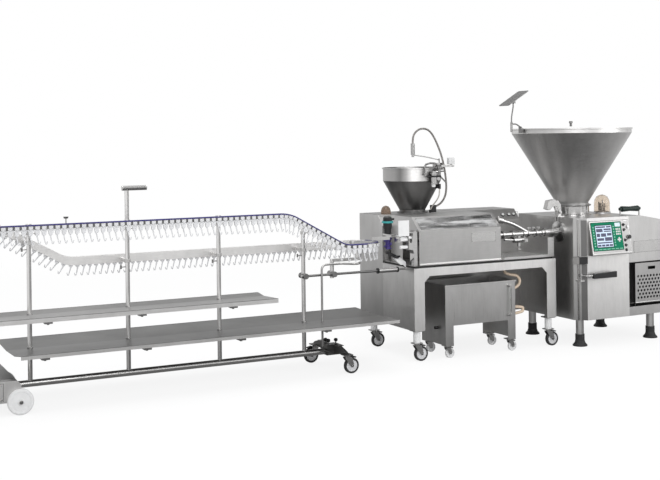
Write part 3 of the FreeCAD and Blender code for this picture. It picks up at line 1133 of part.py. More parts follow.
SENSOR_HOSE = [(895.0, 397.0, 1814.0), (895.0, 397.0, 1869.0), (921.0, 393.0, 1917.0), (967.0, 389.0, 1945.5),
               (1022.0, 385.0, 1948.0), (1070.5, 381.0, 1924.5), (1114.0, 376.0, 1862.0),
               (1150.0, 370.0, 1782.0), (1181.0, 363.0, 1695.0), (1201.0, 355.0, 1600.0),
               (1211.0, 346.0, 1505.0), (1213.0, 338.0, 1412.0), (1200.0, 331.0, 1345.0),
               (1168.0, 325.0, 1290.0), (1120.0, 320.0, 1252.0), (1074.0, 318.0, 1237.0)]
SENSOR_HOSE_RADIUS = 9.0
PASTE_HOSE = [(1034.0, 172.0, 1406.0), (1034.0, 172.0, 1350.0), (1020.0, 204.0, 1296.0),
              (998.0, 240.0, 1252.0), (986.0, 260.0, 1212.0)]
PASTE_HOSE_RADIUS = 6.0


def hose_ends():
    """Junction box on the cabinet top for the sensor hose and a gland for the paste hose."""
    x, y, z = SENSOR_HOSE[-1]
    junction = box((x - 44, y - 16, CABINET_TOP_Z), (x + 4, y + 16, z + 16))
    junction = junction.cut(rod(SENSOR_HOSE[-2], SENSOR_HOSE[-1], SENSOR_HOSE_RADIUS))
    x, y, z = PASTE_HOSE[-1]
    gland = rod((x, y, CABINET_TOP_Z), (x, y, z + 4), 11)
    gland = gland.cut(rod(PASTE_HOSE[-2], PASTE_HOSE[-1], PASTE_HOSE_RADIUS))
    return [junction, gland]


def paste_valve():
    """Shut-off valve on the front of the small hopper's cone, above the paste hose."""
    x, y, z = PASTE_HOSE[0]
    body = rod((SMALL_HOPPER_X + 120, SMALL_HOPPER_Y - 161, 1424), (x, y, 1424), 15)
    stem = rod((x, y, z), (x, y, 1450), 12)
    return [body, stem]


def cap_dome():
    """Round vent cap on the cabinet top."""
    profile = [(0, 0), (46, 0), (46, 8), (43, 30), (36, 50), (24, 64), (0, 72)]
    return revolve(profile, (600, 385, CABINET_TOP_Z))


def tub():
    """Open tub with a rolled rim, sloped floor and four folded sheet legs."""
    lx, rx, fy, ry = TUB_LEFT_X, TUB_RIGHT_X, TUB_FRONT_Y, TUB_REAR_Y
    t = TUB_SHEET
    outer = box((lx, fy, TUB_FLOOR_Z), (rx, ry, TUB_RIM_Z))
    inner = box((lx + t, fy + t, TUB_FLOOR_Z + t), (rx - t, ry - t, TUB_RIM_Z + 1))
    rim = box((lx - 8, fy - 8, TUB_RIM_Z - 14), (rx + 8, ry + 8, TUB_RIM_Z)).cut(
        box((lx + t, fy + t, TUB_RIM_Z - 15), (rx - t, ry - t, TUB_RIM_Z + 1)))
    legs = []
    plates = []
    foot = TUB_CASTOR_HEIGHT
    for name, (swivel, heading) in TUB_CASTORS.items():
        x_wall = lx if "left" in name else rx - t
        x_low = lx if "left" in name else rx - TUB_LEG_WIDTH
        y_wall = fy if "front" in name else ry - t
        legs.append(box((x_low, y_wall, foot), (x_low + TUB_LEG_WIDTH, y_wall + t, TUB_FLOOR_Z)))
        if "front" in name:
            legs.append(box((x_wall, fy, foot), (x_wall + t, ry, TUB_FLOOR_Z)))
        plates.append(box((min(x_low, swivel[0] - 30), min(y_wall, swivel[1] - 28), foot - 8),
                          (max(x_low + TUB_LEG_WIDTH, swivel[0] + 30), max(y_wall + t, swivel[1] + 28),
                           foot)))
    return fuse([outer.cut(inner), rim] + legs + plates)


GAUGE_X = 1398.0
GAUGE_LOW_Z = 322.0
GAUGE_HIGH_Z = 576.0


def sight_gauge():
    """Level glass on the tub's front between two end fittings."""
    y = TUB_FRONT_Y
    glass = rod((GAUGE_X, y - 20, GAUGE_LOW_Z + 14), (GAUGE_X, y - 20, GAUGE_HIGH_Z - 14), 7)
    return glass


def gauge_fittings():
    y = TUB_FRONT_Y
    fittings = []
    for z, tip in ((GAUGE_LOW_Z, 14.0), (GAUGE_HIGH_Z, -14.0)):
        stub = rod((GAUGE_X, y, z), (GAUGE_X, y - 30, z), 10)
        socket = rod((GAUGE_X, y - 20, z), (GAUGE_X, y - 20, z + tip), 12)
        fittings.append(fuse([stub, socket]))
    for z in (DRAIN_HIGH_Z, DRAIN_LOW_Z, RETURN_Z):
        fittings.append(rod((TUB_RIGHT_X, HOSE_Y, z), (TUB_RIGHT_X + 35, HOSE_Y, z), 15))
    return fittings


def return_fitting():
    """Drain spigot below the table plate for the return hose."""
    x, y, z = RETURN_HOSE[0]
    return rod((x, y, z), (x, y, TABLE_TOP_Z - SHEET), 17)


HOSE_Y = -230.0
HOSE_RADIUS = 13.0
RETURN_Z = 528.0
DRAIN_HIGH_Z = 362.0
DRAIN_LOW_Z = 306.0
RETURN_HOSE = [(1440.0, HOSE_Y, 711.0), (1440.0, HOSE_Y, 670.0), (1500.0, HOSE_Y, 650.0),
               (1570.0, HOSE_Y, 640.0), (1606.0, HOSE_Y, 600.0), (1596.0, HOSE_Y, 556.0),
               (1552.0, HOSE_Y, RETURN_Z), (1497.0, HOSE_Y, RETURN_Z)]
DRAIN_HOSE = [(1497.0, HOSE_Y, DRAIN_HIGH_Z), (1572.0, HOSE_Y, DRAIN_HIGH_Z), (1634.0, HOSE_Y, 352.0),
              (1634.0, HOSE_Y, 316.0), (1572.0, HOSE_Y, DRAIN_LOW_Z), (1497.0, HOSE_Y, DRAIN_LOW_Z)]


def drain_knob():
    """Drain tap on the tub's left leg panel."""
    return rod((TUB_LEFT_X, -230, 250), (TUB_LEFT_X - 30, -230, 250), 13)


def filler_plan(inset):
    """Outline of the filler's housing seen from above, moved in by inset."""
    lx, rx = BODY_LEFT_X + inset, BODY_RIGHT_X - inset
    fy, ry = BODY_FRONT_Y + inset, BODY_REAR_Y - inset
    cut = inset * 0.42
    return [(lx, fy + CORNER_CUT_Y - cut), (lx + CORNER_CUT_X - cut, fy), (RECESS_LEFT_X, fy),
            (rx - 60, fy + 22), (rx, fy + 70), (rx, ry), (lx, ry)]


TOP_SLOPE_X = 2706.0
TOP_DROP = 73.0
WELL_RADIUS = 92.0
WELL_FLOOR_Z = BODY_TOP_Z - 72.0
PUMP_RADIUS = 150.0
PUMP_HEIGHT = 300.0
AUGER_SHAFT_RADIUS = 16.0


def top_z(x):
    """Height of the housing's sloping top at x."""
    return BODY_TOP_Z - TOP_DROP * max(0.0, x - TOP_SLOPE_X) / (BODY_RIGHT_X - TOP_SLOPE_X)


def above_top(lowered):
    """Everything above the sloping right part of the top, moved down by lowered."""
    right = BODY_RIGHT_X + 1
    return prism_y([(TOP_SLOPE_X, BODY_TOP_Z - lowered), (right, top_z(right) - lowered),
                    (right, BODY_TOP_Z + 60), (TOP_SLOPE_X, BODY_TOP_Z + 60)],
                   BODY_FRONT_Y - 1, BODY_REAR_Y + 1)


def filler_housing():
    """Welded housing: sloping top, cut front corner, recess behind the step, pump block inside."""
    t = BODY_WALL
    solid = prism_z(filler_plan(0), BODY_FOOT_Z, BODY_TOP_Z).cut(above_top(0))
    hollow = prism_z(filler_plan(t), BODY_FOOT_Z + t, BODY_TOP_Z - t).cut(above_top(t))
    recess = box((RECESS_LEFT_X, BODY_FRONT_Y - 1, RECESS_FOOT_Z),
                 (RECESS_RIGHT_X, BODY_FRONT_Y + RECESS_DEPTH, RECESS_TOP_Z))
    liner = box((RECESS_LEFT_X - 5, BODY_FRONT_Y, RECESS_FOOT_Z - 5),
                (RECESS_RIGHT_X + 5, BODY_FRONT_Y + RECESS_DEPTH + 5, RECESS_TOP_Z + 5))
    pump = Part.makeCylinder(PUMP_RADIUS, PUMP_HEIGHT,
                             V(HOPPER_X, HOPPER_Y, BODY_TOP_Z - t / 2 - PUMP_HEIGHT))
    shell = fuse([solid.cut(hollow), liner.common(solid), pump] + handle_posts()).cut(recess)
    well = Part.makeCylinder(WELL_RADIUS, 200, V(HOPPER_X, HOPPER_Y, WELL_FLOOR_Z))
    boss = Part.makeCylinder(AUGER_SHAFT_RADIUS + 10, 24, V(HOPPER_X, HOPPER_Y, WELL_FLOOR_Z))
    bore = Part.makeCylinder(AUGER_SHAFT_RADIUS + RUN_CLEARANCE, 30, V(HOPPER_X, HOPPER_Y, WELL_FLOOR_Z))
    return fuse([shell.cut(well), boss.cut(bore)])


def corner_post():
    """Bright half-round strip on the cut front corner."""
    x = BODY_LEFT_X + 26.0
    y = BODY_FRONT_Y + CORNER_CUT_Y - 36.0
    strip = rod((x, y, BODY_FOOT_Z + 3), (x, y, BODY_TOP_Z - 14), 9)
    wall = prism_z(filler_plan(0), BODY_FOOT_Z, BODY_TOP_Z)
    return strip.cut(wall)


LEVER_X = BODY_LEFT_X + 31.0
LEVER_Y = BODY_FRONT_Y + CORNER_CUT_Y - 62.0
LEVER_Z = 636.0
LEVER_PIN_RADIUS = 7.0
GRIP_LEFT_X = 2117.0
GRIP_RIGHT_X = 2379.0
GRIP_Y = -600.0


def lever_bracket():
    """Black hinge block above the lever and the pin the lever swings on."""
    wall = prism_z(filler_plan(0), BODY_FOOT_Z, BODY_TOP_Z).fuse(corner_post())
    block = box((BODY_LEFT_X - 6, LEVER_Y - 26, 738), (LEVER_X + 58, LEVER_Y + 62, 800)).cut(wall)
    pin = rod((LEVER_X, LEVER_Y, LEVER_Z - 40), (LEVER_X, LEVER_Y, 740), LEVER_PIN_RADIUS)
    base = box((LEVER_X - 16, LEVER_Y - 14, LEVER_Z - 54),
               (LEVER_X + 30, LEVER_Y + 60, LEVER_Z - 40)).cut(wall)
    return fuse([block, pin, base])


def start_lever():
    """Knee lever: clamp ring on the pin, rod and tapered black grip."""
    ring = rod((LEVER_X, LEVER_Y, LEVER_Z - 13), (LEVER_X, LEVER_Y, LEVER_Z + 13), 17)
    arm = bent_rod([(LEVER_X - 4, LEVER_Y, LEVER_Z), (LEVER_X + 18, GRIP_Y, LEVER_Z),
                    (GRIP_LEFT_X + 30, GRIP_Y, LEVER_Z)], 7, 16)
    bore = rod((LEVER_X, LEVER_Y, LEVER_Z - 20), (LEVER_X, LEVER_Y, LEVER_Z + 20),
               LEVER_PIN_RADIUS + RUN_CLEARANCE)
    return fuse([ring, arm]).cut(bore)


def lever_grip():
    z = LEVER_Z
    outline = [(GRIP_LEFT_X, z - 20), (GRIP_LEFT_X, z + 8), (GRIP_LEFT_X + 12, z + 17),
               (GRIP_RIGHT_X, z + 25), (GRIP_RIGHT_X, z - 27), (GRIP_LEFT_X + 12, z - 27)]
    grip = prism_y(outline, GRIP_Y - 15, GRIP_Y + 15)
    edges = [e for e in grip.Edges if abs(e.Vertexes[0].Y - e.Vertexes[-1].Y) < 0.1]
    grip = grip.makeFillet(5, edges)
    return grip.cut(rod((GRIP_LEFT_X - 1, GRIP_Y, z), (GRIP_LEFT_X + 30, GRIP_Y, z), 7))


CONSOLE_LEFT_X = 2106.0
CONSOLE_RIGHT_X = 2556.0
CONSOLE_FOOT_Z = 815.0
CONSOLE_HEAD_Z = 1106.0
CONSOLE_DEPTH = 64.0
CONSOLE_BACK_Y = BODY_FRONT_Y - SEAT_GAP


def console_face(height):
    """Front of the filler's console at a height: it leans out towards its foot."""
    share = (CONSOLE_HEAD_Z - height) / (CONSOLE_HEAD_Z - CONSOLE_FOOT_Z)
    return CONSOLE_BACK_Y - 8 - (CONSOLE_DEPTH - 8) * share


def console_normal():
    rise = CONSOLE_HEAD_Z - CONSOLE_FOOT_Z
    return V(0, -rise, CONSOLE_DEPTH - 8).normalize()


def on_console(x, z):
    return V(x, console_face(z), z)


def filler_console():
    """Wedge-shaped console that leans towards the operator, with a rounded lower edge."""
    outline = [(CONSOLE_BACK_Y, CONSOLE_FOOT_Z - 6),
               (CONSOLE_BACK_Y - CONSOLE_DEPTH + 10, CONSOLE_FOOT_Z - 6),
               (CONSOLE_BACK_Y - CONSOLE_DEPTH, CONSOLE_FOOT_Z),
               (console_face(CONSOLE_HEAD_Z), CONSOLE_HEAD_Z), (CONSOLE_BACK_Y, CONSOLE_HEAD_Z + 4)]
    wedge = prism_x(outline, CONSOLE_LEFT_X, CONSOLE_RIGHT_X)
    hollow = prism_x([(CONSOLE_BACK_Y - 3, CONSOLE_FOOT_Z - 3),
                      (console_face(CONSOLE_FOOT_Z) + 12, CONSOLE_FOOT_Z - 3),
                      (CONSOLE_BACK_Y - 3, CONSOLE_HEAD_Z - 40)], CONSOLE_LEFT_X + 3, CONSOLE_RIGHT_X - 3)
    wedge = wedge.cut(hollow)
    holes = [Part.makeCylinder(radius * STEM_SHARE + RUN_CLEARANCE, 24,
                               on_console(x, z) - console_normal() * 20, console_normal())
             for name, x, z, radius in CONSOLE_CONTROLS]
    inset = console_block(SCREEN_LEFT_X, SCREEN_RIGHT_X, SCREEN_LOW_Z, SCREEN_HIGH_Z, -4, 10)
    lamps = [Part.makeCylinder(8, 9, on_console(x, z) - console_normal() * 4, console_normal())
             for x, z in CONSOLE_LAMPS]
    return fuse([wedge.cut(Part.makeCompound(holes)).cut(inset)] + lamps)


SCREEN_LEFT_X = 2124.0
SCREEN_RIGHT_X = 2462.0
SCREEN_LOW_Z = 850.0
SCREEN_HIGH_Z = 1094.0
CONSOLE_CONTROLS = (("stop_button", 2534.0, 956.0, 13.0), ("start_button", 2534.0, 1045.0, 12.0),
                    ("selector_knob", 2490.0, 1066.0, 9.0))
STEM_SHARE = 0.55
CONSOLE_LAMPS = ((2490.0, 1021.0), (2490.0, 931.0), (2490.0, 886.0), (2490.0, 845.0))


def console_block(x_low, x_high, z_low, z_high, depth_in, depth_out):
    """Flat block on the console's face, from depth_in to depth_out along its normal."""
    normal = console_normal()
    low = on_console(x_low, z_low)
    high = on_console(x_low, z_high)
    corners = [low + normal * depth_in, high + normal * depth_in, high + normal * depth_out,
               low + normal * depth_out]
    return Part.Face(Part.makePolygon(corners + corners[:1])).extrude(V(x_high - x_low, 0, 0))


def screen_panel():
    """Sealed operating panel set in the console."""
    return console_block(SCREEN_LEFT_X + SEAT_GAP, SCREEN_RIGHT_X - SEAT_GAP, SCREEN_LOW_Z + SEAT_GAP,
                         SCREEN_HIGH_Z - SEAT_GAP, -4, 1)


def console_controls():
    """Buttons and knobs on the right of the console, each a body that travels or turns."""
    normal = console_normal()
    for name, x, z, radius in CONSOLE_CONTROLS:
        seat = on_console(x, z)
        stem = Part.makeCylinder(radius * STEM_SHARE, 18, seat - normal * 12, normal)
        head = Part.makeCylinder(radius, 8 if radius > 10 else 5, seat + normal * 4.5, normal)
        control = stem.fuse(head)
        if name == "selector_knob":
            grip = Part.makeBox(radius * 2 - 1, 5, 9)
            grip.translate(V(-radius + 0.5, -2.5, 0))
            grip.Placement = FreeCAD.Placement(seat + normal * 8, FreeCAD.Rotation(Z_DIR, normal)).multiply(
                grip.Placement)
            control = control.fuse(grip)
        if name == "stop_button":
            control = control.fuse(Part.makeCylinder(radius + 5, 7, seat + normal * 10, normal))
        export(name, control.removeSplitter())


STEP_HINGE = (BODY_FRONT_Y + 18.0, RECESS_FOOT_Z + 30.0)
STEP_TOP_Z = 706.0
STEP_SHEET = 4.0
STEP_HOLE_RADIUS = 11.0
STEP_HOLE_PITCH = 37.0


def step():
    """Fold-down step: perforated plate with turned edges on its hinge tube."""
    y, z = STEP_HINGE
    x_low, x_high = STEP_LEFT_X, STEP_RIGHT_X - 14
    top = STEP_TOP_Z
    plate = box((x_low, y - 6, z + 8), (x_high, y - 6 + STEP_SHEET, top))
    edges = [box((x_low, y - 6, z + 8), (x_low + STEP_SHEET, y + 20, top)),
             box((x_high - STEP_SHEET, y - 6, z + 8), (x_high, y + 20, top)),
             box((x_low, y - 6, top - STEP_SHEET), (x_high, y + 20, top))]
    tube = rod((x_low, y, z), (x_high, y, z), 9)
    web = box((x_low, y - 6, z), (x_high, y - 2, z + 12))
    holes = []
    row = 0
    hole_z = z + 44.0
    while hole_z < top - 88.0:
        shift = (row % 2) * STEP_HOLE_PITCH / 2
        x = x_low + 34.0 + shift
        while x < x_high - 26.0:
            holes.append(rod((x, y - 8, hole_z), (x, y, hole_z), STEP_HOLE_RADIUS))
            x += STEP_HOLE_PITCH
        hole_z += STEP_HOLE_PITCH * 0.87
        row += 1
    bore = rod((x_low - 1, y, z), (x_high + 1, y, z), 6 + RUN_CLEARANCE)
    pull = box((x_low + 150, y - 8, top - 62), (x_low + 236, y - 1, top - 34))
    return fuse([plate, tube, web] + edges).cut(Part.makeCompound(holes)).cut(pull).cut(bore)


def step_pin():
    y, z = STEP_HINGE
    pin = rod((RECESS_LEFT_X, y, z), (RECESS_RIGHT_X, y, z), 6)
    ears = [box((x, y - 12, RECESS_FOOT_Z), (x + 8, y + 14, z + 14))
            for x in (STEP_LEFT_X - 12, STEP_RIGHT_X - 10)]
    return fuse([pin] + ears)


def foot_tubes():
    return [pipe((x, y, FOOT_PAD_HEIGHT), (x, y, BODY_FOOT_Z), FOOT_TUBE_RADIUS, 4)
            for x in FOOT_X for y in FOOT_Y]


def foot_pads():
    """Flared rubber feet, one below each leg tube."""
    profile = [(0, 0), (FOOT_PAD_BASE_RADIUS, 0), (FOOT_PAD_BASE_RADIUS, 9), (FOOT_PAD_TOP_RADIUS + 6, 30),
               (FOOT_PAD_TOP_RADIUS, 52), (FOOT_PAD_TOP_RADIUS, FOOT_PAD_HEIGHT), (0, FOOT_PAD_HEIGHT)]
    return [revolve(profile, (x, y, 0)) for x in FOOT_X for y in FOOT_Y]


def hopper():
    """Large conical hopper with its vertical band and rolled rim."""
    t = HOPPER_SHEET
    cone_top = HOPPER_RIM_Z - HOPPER_BAND
    neck = NECK_RADIUS - 14
    profile = [(NECK_RADIUS, NECK_TOP_Z + SEAT_GAP), (NECK_RADIUS, NECK_TOP_Z + 10),
               (neck + t, NECK_TOP_Z + 14),
               (HOPPER_RADIUS - 8, cone_top), (HOPPER_RADIUS - 8, HOPPER_RIM_Z - 14),
               (HOPPER_RADIUS, HOPPER_RIM_Z - 12),
               (HOPPER_RADIUS, HOPPER_RIM_Z), (HOPPER_RADIUS - 8 - t, HOPPER_RIM_Z),
               (HOPPER_RADIUS - 8 - t, cone_top + 1), (neck, NECK_TOP_Z + 16), (neck, NECK_TOP_Z + SEAT_GAP)]
    return revolve(profile, (HOPPER_X, HOPPER_Y, 0))


def neck_ring():
    """Ring on the housing that the hopper seats on, with a split clamp band."""
    r = NECK_RADIUS
    profile = [(r, 0), (r, NECK_TOP_Z - BODY_TOP_Z - 16), (r + 7, NECK_TOP_Z - BODY_TOP_Z - 12),
               (r + 7, NECK_TOP_Z - BODY_TOP_Z), (r - 14, NECK_TOP_Z - BODY_TOP_Z), (r - 14, 0)]
    ring = revolve(profile, (HOPPER_X, HOPPER_Y, BODY_TOP_Z))
    slot = box((HOPPER_X - 4, HOPPER_Y - r - 8, BODY_TOP_Z + 4),
               (HOPPER_X + 4, HOPPER_Y - r + 5, NECK_TOP_Z + 1))
    return ring.cut(slot)


CLAMP_Y = -255.0
CLAMP_Z = 1190.0


def clamp_bracket():
    """Post beside the neck that carries the outlet valve's clamp lever."""
    foot = box((BODY_LEFT_X + 2, CLAMP_Y - 28, BODY_TOP_Z), (BODY_LEFT_X + 62, CLAMP_Y + 28, BODY_TOP_Z + 8))
    column = box((BODY_LEFT_X + 4, CLAMP_Y - 16, BODY_TOP_Z), (BODY_LEFT_X + 34, CLAMP_Y + 16, CLAMP_Z + 4))
    pin = rod((BODY_LEFT_X + 19, CLAMP_Y - 34, CLAMP_Z - 12),
              (BODY_LEFT_X + 19, CLAMP_Y + 34, CLAMP_Z - 12), 6)
    return fuse([foot, column, pin])


def clamp_lever():
    """Two-winged clamp lever with its dark pull rod down to the outlet."""
    x, z = BODY_LEFT_X + 19.0, CLAMP_Z - 12.0
    hubs = [rod((x, y, z), (x, y + 14, z), 13) for y in (CLAMP_Y - 31, CLAMP_Y + 17)]
    cheek = [(x - 10, z - 8), (x + 10, z - 8), (x + 4, z + 70), (x - 30, z + 110), (x - 60, z + 96)]
    cheeks = [prism_y(cheek, y, y + 8) for y in (CLAMP_Y - 28, CLAMP_Y + 20)]
    wing = prism_y([(x - 18, z + 84), (x - 60, z + 118), (x - 128, z + 110), (x - 152, z + 36),
                    (x - 118, z + 24), (x - 88, z + 52), (x - 60, z + 62), (x - 34, z + 56)],
                   CLAMP_Y - 28, CLAMP_Y + 28)
    bore = rod((x, CLAMP_Y - 40, z), (x, CLAMP_Y + 40, z), 6 + RUN_CLEARANCE)
    return fuse([wing] + hubs + cheeks).cut(bore)


def pull_rods():
    """Dark tie rods from the lever post down to the outlet cone."""
    foot = PIPE_Z + OUTLET_RADIUS + SEAT_GAP
    rods = [rod((BODY_LEFT_X - 8, CLAMP_Y + y, foot), (BODY_LEFT_X - 8, CLAMP_Y + y, BODY_TOP_Z + 10), 6)
            for y in (-22, 10)]
    return fuse(rods + [box((BODY_LEFT_X - 14, CLAMP_Y - 30, BODY_TOP_Z), (BODY_LEFT_X + 2, CLAMP_Y + 18,
                                                                          BODY_TOP_Z + 12))])


def feed_auger():
    """Turning scraper arm and feed screw at the bottom of the hopper."""
    shaft = Part.makeCylinder(AUGER_SHAFT_RADIUS, 250, V(HOPPER_X, HOPPER_Y, WELL_FLOOR_Z + SEAT_GAP))
    pitch = 70.0
    helix = Part.makeHelix(pitch, 2 * pitch, 60)
    section = Part.makePolygon([V(12, 0, -3), V(122, 0, -3), V(122, 0, 3), V(12, 0, 3), V(12, 0, -3)])
    flight = Part.Wire(helix).makePipeShell([Part.Wire(section)], True, True)
    flight.translate(V(HOPPER_X, HOPPER_Y, BODY_TOP_Z + 30))
    x, z = HOPPER_X, NECK_TOP_Z
    blade = prism_y([(x, z + 60), (x + 36, z + 60), (x + 330, z + 402), (x + 330, z + 446),
                     (x + 300, z + 426), (x, z + 84)], HOPPER_Y - 8, HOPPER_Y + 8)
    return fuse([shaft, flight, blade])


DOME_X = HOPPER_X + 327.0
DOME_Y = HOPPER_Y - 30.0
DOME_RADIUS = 74.0


def vacuum_dome():
    """Clear dome of the vacuum trap, hollow, on its base ring."""
    profile = [(DOME_RADIUS, 0), (DOME_RADIUS, 90), (68, 122), (52, 150), (28, 166), (0, 172), (0, 168),
               (26, 162), (49, 147), (64, 120), (DOME_RADIUS - 4, 90), (DOME_RADIUS - 4, 0)]
    return revolve(profile, (DOME_X, DOME_Y, BODY_TOP_Z + 4))


def dome_base():
    seat = DOME_RADIUS + 2
    profile = [(0, 0), (seat + 6, 0), (seat + 6, 14), (seat, 14), (seat, 4), (0, 4)]
    ring = revolve(profile, (DOME_X, DOME_Y, BODY_TOP_Z))
    float_tube = Part.makeCylinder(12, 96, V(DOME_X - 22, DOME_Y, BODY_TOP_Z + 3))
    inlet = Part.makeCylinder(18, 60, V(DOME_X + 18, DOME_Y + 10, BODY_TOP_Z + 3))
    return fuse([ring, float_tube, inlet])


HANDLE_BAR_LEFT_X = 2635.0
HANDLE_BAR_Y = -355.0
HANDLE_BAR_Z = 1186.0
HANDLE_POSTS_X = (2648.0, 2872.0)


def grab_handle():
    """Dark ribbed grab bar on the two bright posts on the top of the housing."""
    bar = revolve([(0, 0), (14, 4), (17, 20), (13, 60), (15, 125), (13, 190), (17, 230), (14, 246), (0, 250)],
                  (0, 0, 0))
    bar.rotate(V(0, 0, 0), Y_DIR, 90)
    bar.translate(V(HANDLE_BAR_LEFT_X, HANDLE_BAR_Y, HANDLE_BAR_Z))
    holes = [rod((x, HANDLE_BAR_Y, HANDLE_BAR_Z - 30), (x, HANDLE_BAR_Y, HANDLE_BAR_Z), 7)
             for x in HANDLE_POSTS_X]
    return bar.cut(Part.makeCompound(holes))


def handle_posts():
    return [rod((x, HANDLE_BAR_Y, top_z(x) - 4), (x, HANDLE_BAR_Y, HANDLE_BAR_Z), 7) for x in HANDLE_POSTS_X]


def hopper_mirror():
    """Inspection mirror over the hopper's left edge, tilted towards the operator."""
    plate = Part.makeBox(260, 160, 4)
    plate.translate(V(-130, -80, -2))
    edges = [e for e in plate.Edges if abs(e.Vertexes[0].Z - e.Vertexes[-1].Z) > 3]
    plate = plate.makeFillet(18, edges)
    plate.rotate(V(0, 0, 0), Y_DIR, -31)
    plate.translate(V(*MIRROR_CENTRE))
    hinge = rod((MIRROR_JOINT[0], MIRROR_JOINT[1] - 16, MIRROR_JOINT[2]),
                (MIRROR_JOINT[0], MIRROR_JOINT[1] + 16, MIRROR_JOINT[2]), 10)
    bore = rod((MIRROR_JOINT[0], MIRROR_JOINT[1] - 30, MIRROR_JOINT[2]),
               (MIRROR_JOINT[0], MIRROR_JOINT[1] + 30, MIRROR_JOINT[2]), MIRROR_PIN_RADIUS + RUN_CLEARANCE)
    return fuse([plate, hinge]).cut(bore)


MIRROR_CENTRE = (1655.0, -105.0, 2208.0)
MIRROR_JOINT = (1648.0, -105.0, 2192.0)
MIRROR_PIN_RADIUS = 5.0
RIM_CLAMP = (HOPPER_X - HOPPER_RADIUS, HOPPER_Y, HOPPER_RIM_Z)


def mirror_arm():
    """Bent arm from the hopper's rim clamp to the mirror's hinge pin."""
    x, y, z = RIM_CLAMP
    clamp = box((x - 26, y - 22, z - 40), (x + 30, y + 22, z + 20))
    slot = box((x - SEAT_GAP, y - 23, z - 41), (x + 31, y + 23, z + SEAT_GAP))
    jx, _, jz = MIRROR_JOINT
    arm = bent_rod([(x - 14, y, z + 10), (x - 70, y, z + 44), (x - 118, y, z + 40), (x - 118, y, z + 100),
                    (jx, y, jz - 60), (jx, y, jz - 25)], 6)
    fork = box((jx - 7, y - 27, jz - 30), (jx + 7, y + 27, jz - 20))
    ears = []
    for side in (-27, 21):
        ears.append(box((jx - 7, y + side, jz - 30), (jx + 7, y + side + 6, jz)))
        ears.append(rod((jx, y + side, jz), (jx, y + side + 6, jz), 7))
    pin = rod((jx, y - 27, jz), (jx, y + 27, jz), MIRROR_PIN_RADIUS)
    plate = box((x - 128, y - 4, z - 30), (x - 108, y + 4, z + 60))
    return fuse([clamp.cut(slot), arm, fork, pin, plate] + ears)


def conveyor():
    guide_rails()
    hook_chain()
    trays()
    conveyor_frame()
    drive_end()


def co_extruder():
    export("table_frame", Part.makeCompound([table_frame(), gasket(), return_fitting()] + castor_spacers()))
    export("cabinet", Part.makeCompound([cabinet(), cap_dome(), hood_hinges()] + console_buttons()
                                        + hose_ends()))
    export("splash_tray", splash_tray())
    export("hood", hood())
    export("hood_window", hood_window())
    export("small_hopper", Part.makeCompound([small_hopper(), sensor_arm()]))
    export("coextrusion_head", coextrusion_head())
    export("infeed_pipe", Part.makeCompound([infeed_pipe(), union_nut()] + pipe_knobs()))
    rollers = [linker_roller(y, z) for y, z in roller_places()]
    export("linker_head", Part.makeCompound([linker_head(), linker_guard(), spiral_motor(), motor_ring()]
                                            + rollers))
    export("placing_spiral", placing_spiral())
    export("placing_arm", Part.makeCompound([placing_arm(), arm_shoe()]))
    export("sensor_hose", Part.makeCompound([bent_rod(SENSOR_HOSE, SENSOR_HOSE_RADIUS),
                                             bent_rod(PASTE_HOSE, PASTE_HOSE_RADIUS)]))


def tub_cart():
    forks = []
    for swivel, heading in TUB_CASTORS.values():
        forks.append(castor_fork(swivel, heading, TUB_CASTOR_RADIUS, TUB_CASTOR_WIDTH, TUB_CASTOR_HEIGHT,
                                 TUB_CASTOR_TRAIL))
    export("tub", Part.makeCompound([tub(), sight_gauge(), drain_knob()] + gauge_fittings() + forks))
    export("tub_hoses", Part.makeCompound([bent_rod(RETURN_HOSE, HOSE_RADIUS),
                                           bent_rod(DRAIN_HOSE, HOSE_RADIUS)]))


def filler():
    export("filler_housing", Part.makeCompound([filler_housing(), corner_post(), lever_bracket(), step_pin(),
                                                neck_ring(), outlet_housing(), clamp_bracket(), pull_rods(),
                                                dome_base()] + foot_tubes()))
    export("filler_console", filler_console())
    export("screen_panel", screen_panel())
    console_controls()
    export("start_lever", start_lever())
    export("lever_grip", lever_grip())
    export("step", step())
    export("rubber_feet", Part.makeCompound(foot_pads()))
    export("hopper", Part.makeCompound([hopper(), mirror_arm()]))
    export("feed_auger", feed_auger())
    export("clamp_lever", clamp_lever())
    export("vacuum_dome", vacuum_dome())
    export("grab_handle", grab_handle())
    export("hopper_mirror", hopper_mirror())


def bend_radii(points):
    """Radius of each arc of a hose's route."""
    pts = [V(*p) for p in points]
    radii = []
    for before, corner, after in zip(pts, pts[1:], pts[2:]):
        half_turn = (corner - before).getAngle(after - corner) / 2.0
        shorter = min((corner - before).Length, (after - corner).Length)
        radii.append(round(0.45 * shorter / math.tan(half_turn)))
    return radii


for hose_name, route in (("sensor hose", SENSOR_HOSE), ("paste hose", PASTE_HOSE)):
    print(hose_name, "bend radii in mm:", bend_radii(route))
castors()
conveyor()
co_extruder()
tub_cart()
filler()
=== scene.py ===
import math
import bmesh
import bpy
from mathutils import Matrix, Vector


